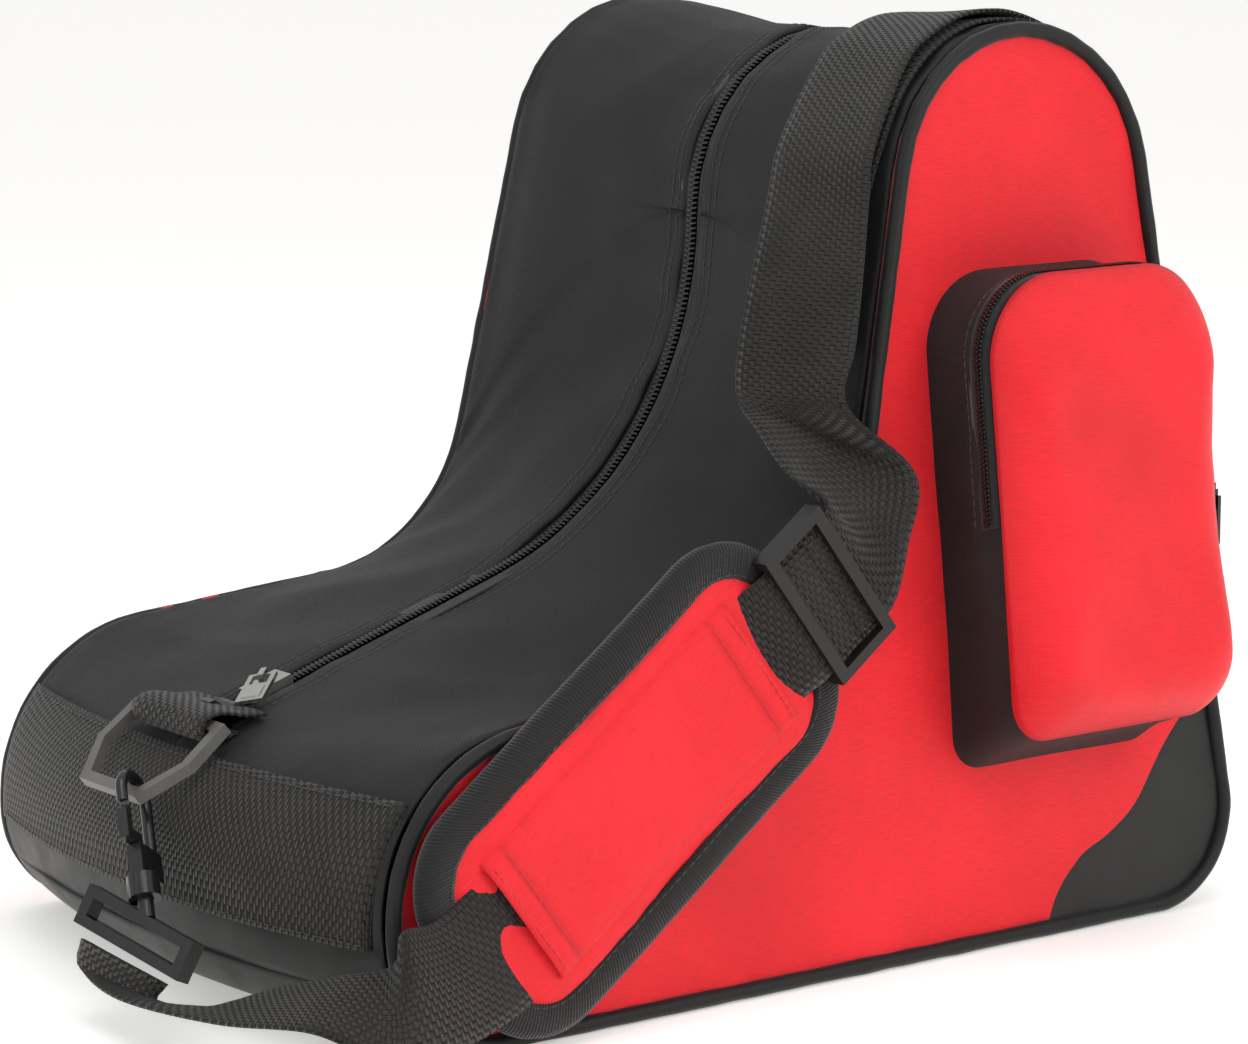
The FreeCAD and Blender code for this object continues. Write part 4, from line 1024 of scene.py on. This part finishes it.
class BAG_OT_zip(bpy.types.Operator):
    """Builds the main zip: two tapes, its coils and the rows of stitches beside it"""
    bl_idname = "bag.zip"
    bl_label = "Zip"

    def execute(self, context):
        def first(share):
            return ZIP_LOW

        def last(share):
            return ZIP_HIGH

        for end, side in (("near", -1), ("far", 1)):
            edges = sorted((side * 9.5 * MM, side * 2.2 * MM))
            tape = skin_patch("zip_tape_" + end + "_cloth", first, last, lambda i: edges[0], lambda i: edges[1],
                              "black_zip_tape", -0.9 * MM, 0.0, 6, 0.8 * MM)
            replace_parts(tape, "zip_tape_" + end)
        path, outs = zip_path()
        pitch = sizes().coil_pitch
        line, ways = evenly(path, pitch / 2, (outs,))
        near, far = [], []
        for k in range(len(line) - 1):
            along = (line[k + 1] - line[k]).normalized()
            out = ways[k].normalized()
            side = -1 if k % 2 else 1
            inner = line[k] + Vector((0, -side * 0.7 * MM, 0)) + out * 0.55 * MM
            outer = line[k] + Vector((0, side * 3.1 * MM, 0)) + out * 0.25 * MM + along * 0.35 * MM
            (far if side > 0 else near).append((inner, outer))
        for end, places in (("near", near), ("far", far)):
            coil = beads("zip_coil_" + end + "_turns", places, 0.62 * MM, "black_nylon_coil")
            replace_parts(coil, "zip_coil_" + end)
        long = sizes().stitch_long
        for y in (-14.5, -10.5, 10.5, 14.5):
            row, ways = beside_zip(y * MM)
            name = "zip_stitches_" + ("near" if y < 0 else "far") + ("_inner" if abs(y) < 12 else "_outer")
            stitches(name, row, ways, "black_thread", long=long, radius=0.26 * MM)
        return {"FINISHED"}


# ---- webbing on the toe and the strap ----

HALF_WEB = 25 * MM
WEB_THICK = 2 * MM
EDGE_SHARES = (0.89, 0.46)     # the strap's two edges, as shares of the way to the seam
UPPER_LIFT = 4.4               # millimetres over the skin
TAIL_LIFT = 2.0


def pad_axes():
    """The shoulder pad's middle on the side panel, and its directions along, across and out."""
    along = Vector(JOINTS["pad_slide"]["axis"]).normalized()
    lean = Vector((0, -math.cos(LEAN), math.sin(LEAN)))
    across = lean.cross(along).normalized()
    middle = panel_point(-103 * MM, 88 * MM, 0)
    return middle, along, across, lean


def on_pad(x, y, off):
    middle, along, across, out = pad_axes()
    return middle + along * (x * MM) + across * (y * MM) + out * (off * MM)


def beside_shaft(z, dx, dy):
    """A point near the front seam at height z: dx behind the seam line, dy in from the side panel."""
    edge = panel_point(SEAM_FRONT_X + FRONT_SLOPE * z * MM, z * MM, 0)
    return Vector((edge.x + dx * MM, edge.y + dy * MM, z * MM))


def over_top(turn, lift, y):
    """A point above the round top, turn degrees from its highest point towards the heel."""
    z = HEIGHT - SEAM_TOP_R
    x = SEAM_FRONT_X + FRONT_SLOPE * z + SEAM_TOP_R * math.hypot(1.0, FRONT_SLOPE)
    a = math.radians(turn)
    r = SEAM_TOP_R + lift * MM
    return Vector((x + math.sin(a) * r, y * MM, z + math.cos(a) * r))


def rest_lift(turn, share, high, settled, free):
    """Height over the seam's round top for a layer that lies high above the skin once it has settled."""
    a = math.radians(max(turn, 0))
    dip = (9 * math.cos(a) - 8 * math.sin(a)) * (1 - share * share)
    return free * (1 - settled) + (high - dip) * settled


def spot(x, y, z):
    return Vector((x * MM, y * MM, z * MM))


def lower_stations():
    toe = -TOE_REACH / MM
    stations = [
        (spot(toe - 45, -63, 23), spot(toe - 50.5, -13, 30)),
        (spot(toe - 48, -61, 16), spot(toe - 53, -15, 20)),
        (spot(toe - 42, -92, 18), spot(toe - 56, -48, 16)),
        (spot(toe - 24, -98, 25), spot(toe - 54, -110, 21)),
        (spot(toe - 13, -125, 34), spot(toe - 45, -157, 27)),
        (spot(toe - 2, -143, 40), spot(toe - 27, -173, 17)),
        (spot(toe - 3, -150, 54), spot(toe - 4, -170, 13)),
    ]
    stations = [(b, a) for a, b in stations]
    for x, lift in ((-90, 0), (-50, 0), (0, 0), (50, 0), (72, 0), (86, 4), (103, 4), (108, 4)):
        stations.append((on_pad(x, -25, 16.2 + lift), on_pad(x, 25, 16.2 + lift)))
    return stations


def upper_stations():
    stations = [(on_pad(x, -25, 20.2), on_pad(x, 25, 20.2)) for x in (104.5, 126)]
    stations += [(spot(20, -149, 165), spot(-24, -132, 194)), (spot(28, -144, 190), spot(-18, -106, 207))]
    for z, right, left in ((216, (-16, -10), (-29, 39)), (238, (-14, -8), (-30, 40)), (262, (-12, -5), (-27, 41)),
                           (287, (-11, -2), (-20, 46)), (309, (-10, 0), (-14, 50))):
        stations.append((beside_shaft(z, *right), beside_shaft(z, *left)))
    for turn in range(-45, 91, 15):
        settled = min(1.0, (turn + 45) / 60)
        y = -112 + 9 * settled + max(turn, 0) * 0.12
        right, left = (rest_lift(turn, share, UPPER_LIFT, settled, 6.5) for share in EDGE_SHARES)
        stations.append((over_top(turn, right, y), over_top(turn, left, y + 50)))
    heel = HEEL_REACH / MM
    stations.append((spot(heel - 20, -92, 250), spot(heel - 20, -42, 250)))
    bar_z = high("hook_base_rear").z / MM - 2
    stations.append((spot(heel + 2, -42, bar_z), spot(heel + 2, 8, bar_z + 3)))
    return stations


def tail_stations():
    layer = [(beside_shaft(z, -6, 4), beside_shaft(z, -4, 54)) for z in (232, 262, 292)]
    edge = layer[-1][0].y / MM
    for turn in (-62, -45, -30, -15, 0, 15, 30, 45, 60):
        settled = min(1.0, max(0.0, (turn + 62) / 60))
        y = edge + 7 * settled
        right, left = (rest_lift(turn, share, TAIL_LIFT, settled, 3.0) for share in EDGE_SHARES)
        layer.append((over_top(turn, right, y), over_top(turn, left, y + 50)))
    return layer


class BAG_OT_strap(bpy.types.Operator):
    """Builds the strap from the front hook over the pad and up the shaft to the rear hook"""
    bl_idname = "bag.strap"
    bl_label = "Strap"

    def execute(self, context):
        web = "black_polypropylene_webbing"
        for node, stations, curl in (("strap_lower", lower_stations(), 0.5 * MM),
                                     ("strap_upper", upper_stations(), -0.8 * MM),
                                     ("strap_tail", tail_stations(), 0.0)):
            layer = strap(node + "_web", stations, WEB_THICK, web, curl=curl)
            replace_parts(layer, node)
        return {"FINISHED"}


class BAG_OT_toe_band(bpy.types.Operator):
    """Builds the webbing band across the toe and the loops that hold the two rings"""
    bl_idname = "bag.toe_band"
    bl_label = "Toe band and ring loops"

    def execute(self, context):
        def top(share):
            return level(92 * MM, share, *TOE_FRONT)

        def bottom(share):
            return level(42 * MM, share, *TOE_FRONT)

        reach = BASE_HALF - 8 * MM
        band = skin_patch("toe_band_web", top, bottom, lambda i: -min(reach, skin_half(i)),
                          lambda i: min(reach, skin_half(i)),
                          "black_polypropylene_webbing", 1.9 * MM, 0.35 * MM, 60, 2 * MM, uv_turn=True)
        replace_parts(band, "toe_webbing_band")
        for z, name in ((90, "upper"), (44, "lower")):
            row, outs = [], []
            for k in range(121):
                y = -reach + 2 * reach * k / 120
                share = y / BASE_HALF
                i = level(z * MM, share, *TOE_FRONT)
                outs.append(skin_normal(i, share))
                row.append(skin_point(i, share) + outs[-1] * 2.1 * MM)
            stitches("toe_band_stitches_" + name, row, outs, "black_thread", radius=0.28 * MM)
        front = Vector(JOINTS["front_ring_tilt"]["pos_m"])
        rear = Vector(JOINTS["rear_ring_tilt"]["pos_m"])
        for name, middle, way, node in (("front", front, Vector((-0.95, 0, -0.30)), "dring_loop_front"),
                                        ("rear", rear, Vector((-0.18, 0, 0.98)), "dring_loop_rear")):
            loop = strap("ring_loop_" + name + "_web", ring_loop(middle, way.normalized()), 1.8 * MM,
                         "black_polypropylene_webbing", pitch=1.2 * MM)
            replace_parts(loop, node)
        return {"FINISHED"}


def ring_loop(middle, way):
    """Webbing from its sewn tail round a ring's bar and back under itself; way points at the ring."""
    out = Vector((0, 1, 0)).cross(way) * -1
    if out.z < 0 and abs(out.z) > 0.3:
        out = -out
    r = 5.0 * MM
    line = [middle - way * 22 * MM - out * 4.2 * MM, middle - way * 14 * MM - out * 1.0 * MM,
            middle - way * 6 * MM + out * 3.6 * MM]
    for turn in (100, 60, 20, -20, -60, -100):
        a = math.radians(turn)
        line.append(middle + way * math.cos(a) * r + out * math.sin(a) * r)
    line += [middle - way * 9 * MM - out * 5.6 * MM]
    return [(p + Vector((0, -HALF_WEB, 0)), p + Vector((0, HALF_WEB, 0))) for p in line]


# ---- pocket ----

POCKET_DEPTH = 38 * MM
COIL_OFF = 31 * MM
POCKET_ZIP_LOW = 160 * MM


def pocket_outline(grow, shrink, inset=0.0, steps=16):
    """The pocket's outline on the side panel; grow lifts its foot and shrink narrows it."""
    left, right = 46 * MM + shrink, 168 * MM - shrink
    foot, head = 69 * MM + grow, 262 * MM - shrink
    corners = [(left + 10 * MM, foot), (right - 6 * MM, foot), (right - 11 * MM, head), (left, head)]
    spans = rounded(corners, [14 * MM, 14 * MM, 30 * MM, 30 * MM], inset, steps)
    return [Vector((x, 0, z)) for x, z in loop_of(spans)]


def pocket_lines():
    """The pocket's outline at the panel and at its front, matched and evenly spaced."""
    at_panel, at_front = pocket_outline(0, 0), pocket_outline(18 * MM, 2 * MM)
    at_panel.append(at_panel[0])
    at_front.append(at_front[0])
    _, a, b = evenly([(p + q) * 0.5 for p, q in zip(at_panel, at_front)], 2.6 * MM, (at_panel, at_front))
    return a[:-1], b[:-1]


def pocket_side_point(a, b, i, off, lift=0.0):
    """A point on the pocket's gusset at station i, off outside the panel and lift outside the cloth."""
    count = len(a)
    share = off / POCKET_DEPTH
    here = a[i % count] + (b[i % count] - a[i % count]) * share
    along = (b[(i + 1) % count] - b[(i - 1) % count]).normalized()
    out = Vector((along.z, 0, -along.x))
    flat = here + out * lift
    return panel_point(flat.x, flat.z, off)


def pocket_side_lift(i, off, z):
    """Folds of the pocket's gusset: it hollows a little and its folded edge stands up beside the zip."""
    hollow = -1.1 * MM * math.sin(math.pi * min(off / (26 * MM), 1.0))
    soft = (1.3 * MM * noise.noise(Vector((i * 0.10, off * 30, 5.0)))
            * math.sin(math.pi * min(off / POCKET_DEPTH, 1.0)))
    beside = z > POCKET_ZIP_LOW - 2 * MM
    edge = 0.9 * MM * math.exp(-((off - 25 * MM) / (1.6 * MM)) ** 2) if beside else 0.0
    return hollow + soft + edge


class BAG_OT_pocket(bpy.types.Operator):
    """Builds the side pocket: its black gusset, its zip and its stuffed red front"""
    bl_idname = "bag.pocket"
    bl_label = "Pocket"

    def execute(self, context):
        a, b = pocket_lines()
        count = len(a)
        columns = 20
        points, uvs, crease_shade = [], [], []
        for i in range(count):
            for c in range(columns):
                off = (0.2 + (37.8 - 0.2) * c / (columns - 1)) * MM
                z = a[i].z + (b[i].z - a[i].z) * off / POCKET_DEPTH
                lift = pocket_side_lift(i, off, z)
                points.append(pocket_side_point(a, b, i, off, lift))
                uvs.append((off, i * 2.6 * MM))
                # Painted shade: darker where the pocket's gusset hollows in.
                crease_shade.append(min(1.0, max(0.0, -lift / (2 * MM))))
        side = mesh_piece("pocket_gusset_cloth", points, quads(count, columns, True, True), "black_ripstop_nylon",
                          uvs, "bag", crease_shade)
        add_thickness(side, 1.8 * MM)
        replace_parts(side, "pocket_gusset")

        zipped = [i for i in range(count) if a[i].z > POCKET_ZIP_LOW]
        first = next(i for i in zipped if (i - 1) % count not in zipped)
        run = [first + k for k in range(len(zipped))]
        points, uvs = [], []
        for i in run:
            for c in range(6):
                off = COIL_OFF + (-5.6 + 11.2 * c / 5) * MM
                points.append(pocket_side_point(a, b, i, off, 0.45 * MM + pocket_side_lift(i, off, 0.0) * 0.6))
                uvs.append((off, i * 2.6 * MM))
        tape = mesh_piece("pocket_zip_tape_cloth", points, quads(len(run), 6, False, True), "black_zip_tape", uvs)
        add_thickness(tape, 0.7 * MM)
        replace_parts(tape, "pocket_zip_tape")

        line = [pocket_side_point(a, b, i, COIL_OFF, 1.1 * MM) for i in run]
        line = evenly(smooth_curve(line, 2), 0.85 * MM)
        off_way = (panel_point(0, 0, 1.0) - panel_point(0, 0, 0.0)).normalized()
        places = []
        for k in range(len(line) - 1):
            along = (line[k + 1] - line[k]).normalized()
            side = -1 if k % 2 else 1
            places.append((line[k] - off_way * side * 0.5 * MM,
                           line[k] + off_way * side * 2.2 * MM + along * 0.3 * MM))
        coil = beads("pocket_zip_coil_turns", places, 0.5 * MM, "black_nylon_coil")
        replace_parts(coil, "pocket_zip_coil")
        self.front(b)
        long = sizes().stitch_long
        for off, name, rows in ((23.5, "fold", run), (1.8, "foot", range(count + 1))):
            row, outs = [], []
            for i in rows:
                z = a[i % count].z
                row.append(pocket_side_point(a, b, i, off * MM, pocket_side_lift(i % count, off * MM, z)))
                outs.append(row[-1] - pocket_side_point(a, b, i, off * MM, -3 * MM))
            seam = stitches("pocket_stitches_" + name, row, outs, "black_thread", long=long, radius=0.26 * MM)
        return {"FINISHED"}

    def front(self, edge_line):
        """The red front: a slack crowned sheet sewn to the gusset's edge."""
        rings, count = 36, len(edge_line)
        middle = sum(edge_line, Vector()) / count
        points, uvs, crease_shade = [], [], []
        for r in range(rings + 1):
            share = (r / rings) ** 0.7
            for p in edge_line:
                flat = middle + (p - middle) * share
                edge = (1 - share) * (p - middle).length
                rise = 1 - max(0.0, 1 - edge / (30 * MM)) ** 2.6
                slack = 1.35 + 0.30 * (0.165 - flat.z) / 0.1
                dent = 2.4 * MM * noise.noise(Vector((flat.x * 19, flat.z * 19, 3.3)))
                dent += 1.0 * MM * noise.noise(Vector((flat.x * 48 + flat.z * 20, flat.z * 48, 1.3)))
                pucker = 1.1 * MM * math.exp(-edge / (9 * MM)) * noise.noise(Vector((p.x * 85, p.z * 85, 6.0)))
                fade = min(1.0, edge / (14 * MM))
                off = (POCKET_DEPTH - 0.4 * MM + 14.0 * MM * rise * slack + dent * fade
                       + pucker * min(1, edge / (3 * MM)))
                points.append(panel_point(flat.x, flat.z, off))
                uvs.append((flat.x, flat.z))
                # Painted shade: darker in the front's dents and along its sewn edge.
                crease_shade.append(min(1.0, max(0.0, -dent / (2 * MM)) * 0.5 * fade + 0.7 * math.exp(-edge / (3 * MM))))
        faces = []
        for r in range(rings):
            for i in range(count):
                n = (i + 1) % count
                faces.append((r * count + i, r * count + n, (r + 1) * count + n, (r + 1) * count + i))
        sheet = mesh_piece("pocket_front_cloth", points, faces, "red_ripstop_nylon", uvs, "bag", crease_shade)
        bm = bmesh.new()
        bm.from_mesh(sheet.data)
        bmesh.ops.remove_doubles(bm, verts=bm.verts, dist=0.01 * MM)
        bm.to_mesh(sheet.data)
        bm.free()
        add_thickness(sheet, 2.0 * MM)
        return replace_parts(sheet, "pocket_front")


# ---- shoulder pad ----

PAD_HALF_LONG = 98
PAD_HALF_WIDE = 49


def pad_outline(inset):
    """The pad's rounded outline in its own plane, in millimetres."""
    u, v = PAD_HALF_LONG, PAD_HALF_WIDE
    spans = rounded([(-u, -v), (u, -v), (u, v), (-u, v)], [34] * 4, inset, 14)
    return loop_of(spans)


def pad_swell(x, y):
    """The pad's own slow waves, in millimetres."""
    return (1.2 * noise.noise(Vector((x * 0.014, y * 0.02, 4.2)))
            + 0.5 * noise.noise(Vector((x * 0.05, y * 0.05, 1.2))))


class BAG_OT_shoulder_pad(bpy.types.Operator):
    """Builds the shoulder pad: its foam body, its ribbed binding and its red sleeve round the strap"""
    bl_idname = "bag.shoulder_pad"
    bl_label = "Shoulder pad"

    def execute(self, context):
        foam = self.foam()
        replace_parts(foam, "shoulder_pad")
        self.binding()
        self.sleeve()
        return {"FINISHED"}

    def foam(self):
        """A foam slab in red nylon, remeshed and blown up a little so that it is crowned between its edges."""
        source = frame["nodes"]["shoulder_pad"]
        foam = bpy.data.objects.new("shoulder_pad_foam", source.data.copy())
        bpy.context.collection.objects.link(foam)
        foam.data.materials.clear()
        apply_modifier(foam, "remesh", "REMESH", {"mode": "VOXEL", "voxel_size": 4 * MM})
        rest = [v.co.copy() for v in foam.data.vertices]
        blow_up(foam, rest, 4.0, 3.0 * MM)
        apply_modifier(foam, "finer", "SUBSURF", {"levels": 1, "render_levels": 1})
        middle, along, across, out = pad_axes()
        layer = foam.data.uv_layers.new(name="weave")
        for loop in foam.data.loops:
            place = foam.data.vertices[loop.vertex_index].co - middle
            layer.data[loop.index].uv = (place.dot(along), place.dot(across))
        for vertex in foam.data.vertices:
            place = vertex.co - middle
            vertex.co += out * (0.6 * pad_swell(place.dot(along) / MM, place.dot(across) / MM) * MM)
        foam.data.polygons.foreach_set("use_smooth", [True] * len(foam.data.polygons))
        foam.data.materials.append(bpy.data.materials["red_ripstop_nylon"])
        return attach(foam, "shoulder_pad")

    def binding(self):
        """Ribbed tape folded over the pad's edge."""
        profile = ((13.0, 15.0), (11.5, 15.7), (7.0, 15.9), (2.5, 15.4), (0.2, 13.6), (-0.3, 11.0), (0.4, 8.4),
                   (3.0, 7.0),
                   (8.0, 6.9), (12.0, 7.2))
        rings = [evenly_flat(pad_outline(inset), 200) for inset, _ in profile]
        points, uvs = [], []
        run, before = 0.0, rings[4][0]
        for k in range(200):
            run += math.hypot(rings[4][k][0] - before[0], rings[4][k][1] - before[1])
            before = rings[4][k]
            for c, (_, height) in enumerate(profile):
                x, y = rings[c][k]
                wave = pad_swell(x, y) + 0.25 * noise.noise(Vector((x * 0.25, y * 0.25, 9)))
                points.append(on_pad(x, y, height + wave))
                uvs.append((run * MM, c * 2.4 * MM))
        piece = mesh_piece("pad_binding_tape", points, quads(200, len(profile), True), "black_grosgrain_binding",
                           uvs, "shoulder_pad")
        add_thickness(piece, 0.6 * MM, 0.0)
        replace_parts(piece, "pad_binding")
        row, outs = [], []
        for x, y in evenly_flat(pad_outline(11.2), 300) + [evenly_flat(pad_outline(11.2), 300)[0]]:
            row.append(on_pad(x, y, 16.0 + pad_swell(x, y)))
            outs.append(pad_axes()[3])
        seam = stitches("pad_binding_stitches", row, outs, "black_thread", "shoulder_pad", radius=0.26 * MM)

    def sleeve(self):
        """A red tunnel over the strap, hemmed at both ends."""
        profile = ((-31.0, 15.2), (-30.0, 15.9), (-28.6, 17.0), (-27.2, 18.6), (-25.0, 19.6), (-18.0, 20.0),
                   (-9.0, 20.1), (0.0, 20.2), (9.0, 20.1), (18.0, 20.0), (25.0, 19.6), (27.2, 18.6),
                   (28.6, 17.0), (30.0, 15.9), (31.0, 15.2))
        points, uvs, crease_shade = [], [], []
        rows = 68
        for r in range(rows + 1):
            x = -68 + 136 * r / rows
            hem = 0.5 if abs(x) > 58 else 0.0
            line = math.exp(-((abs(x) - 57.5) / 1.2) ** 2)
            for y, height in profile:
                inner = 1 - (abs(y) / 31) ** 6
                wave = (0.9 * noise.noise(Vector((x * 0.045, y * 0.07, 2.2)))
                        + 0.45 * noise.noise(Vector((x * 0.15, y * 0.12, 7.2))))
                rise = height + inner * (wave + hem - 0.7 * line) + 0.6 * pad_swell(x, y)
                points.append(on_pad(x, y, rise))
                uvs.append((x * MM, y * MM))
                # Painted shade: darker along the hem's sunken stitch line and towards the sleeve's turned-down edges.
                crease_shade.append(min(1.0, 0.6 * line + 0.4 * max(0.0, abs(y) - 26) / 5))
        piece = mesh_piece("pad_sleeve_cloth", points, quads(rows + 1, len(profile), False, True), "red_ripstop_nylon",
                           uvs, "shoulder_pad", crease_shade)
        add_thickness(piece, 1.3 * MM)
        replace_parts(piece, "pad_sleeve")
        out = pad_axes()[3]
        for x in (-65.5, -58.0, 58.0, 65.5):
            row = [on_pad(x, -26 + k, 20.75 + 0.6 * pad_swell(x, -26 + k)) for k in range(53)]
            name = "sleeve_stitches_" + ("toe" if x < 0 else "heel") + ("_edge" if abs(x) > 60 else "_hem")
            stitches(name, row, [out] * len(row), "red_thread", "shoulder_pad", radius=0.25 * MM)


def evenly_flat(points, count):
    """A closed flat outline as count evenly spaced points."""
    ring = [Vector((x, y, 0)) for x, y in points + points[:1]]
    run = lengths(ring)
    result, i = [], 0
    for k in range(count):
        want = run[-1] * k / count
        while i < len(run) - 2 and run[i + 1] < want:
            i += 1
        p = ring[i] + (ring[i + 1] - ring[i]) * ((want - run[i]) / max(run[i + 1] - run[i], 1e-9))
        result.append((p.x, p.y))
    return result


def apply_modifier(thing, name, kind, settings):
    """Adds a modifier with its settings and bakes its result into the mesh."""
    modifier = thing.modifiers.new(name, kind)
    for key, value in settings.items():
        setattr(modifier, key, value)
    bake_mesh(thing)


def bake_mesh(thing):
    graph = bpy.context.evaluated_depsgraph_get()
    graph.update()
    mesh = bpy.data.meshes.new_from_object(thing.evaluated_get(graph))
    thing.modifiers.clear()
    thing.data = mesh


def blow_up(thing, rest, pressure, cap):
    """Cloth under pressure for 20 frames; no point moves further than cap from where it rests."""
    cloth = thing.modifiers.new("cloth", "CLOTH")
    cloth.settings.use_pressure = True
    cloth.settings.uniform_pressure_force = pressure
    cloth.settings.effector_weights.gravity = 0.0
    cloth.point_cache.frame_end = 20
    scene = bpy.context.scene
    for number in range(1, 21):
        scene.frame_set(number)
    bake_mesh(thing)
    scene.frame_set(1)
    for vertex, start in zip(thing.data.vertices, rest):
        move = vertex.co - start
        if move.length > cap:
            vertex.co = start + move.normalized() * cap


# ---- add-on ----

class BAG_PT_panel(bpy.types.Panel):
    """Lists the bag's pieces in the sidebar"""
    bl_label = "Skate Bag"
    bl_idname = "BAG_PT_panel"
    bl_space_type = "VIEW_3D"
    bl_region_type = "UI"
    bl_category = "Skate Bag"

    def draw(self, context):
        layout = self.layout
        for group in (context.scene.bag_sizes, context.scene.bag_colours):
            for name in group.__annotations__:
                layout.prop(group, name)
        for piece in PIECES:
            layout.operator(piece.bl_idname)


PIECES = (BAG_OT_finishes, BAG_OT_gusset, BAG_OT_side_panels, BAG_OT_zip, BAG_OT_strap, BAG_OT_toe_band,
          BAG_OT_pocket, BAG_OT_shoulder_pad, BAG_OT_hardware, BAG_OT_stage)
CLASSES = (BagSizes, BagColours, *PIECES, BAG_PT_panel)


def register():
    for item in CLASSES:
        bpy.utils.register_class(item)
    bpy.types.Scene.bag_sizes = PointerProperty(type=BagSizes)
    bpy.types.Scene.bag_colours = PointerProperty(type=BagColours)


def unregister():
    del bpy.types.Scene.bag_colours
    del bpy.types.Scene.bag_sizes
    for item in reversed(CLASSES):
        bpy.utils.unregister_class(item)


def main():
    register()
    for piece in PIECES:
        group, name = piece.bl_idname.split(".")
        getattr(getattr(bpy.ops, group), name)()


if __name__ == "__main__":
    main()
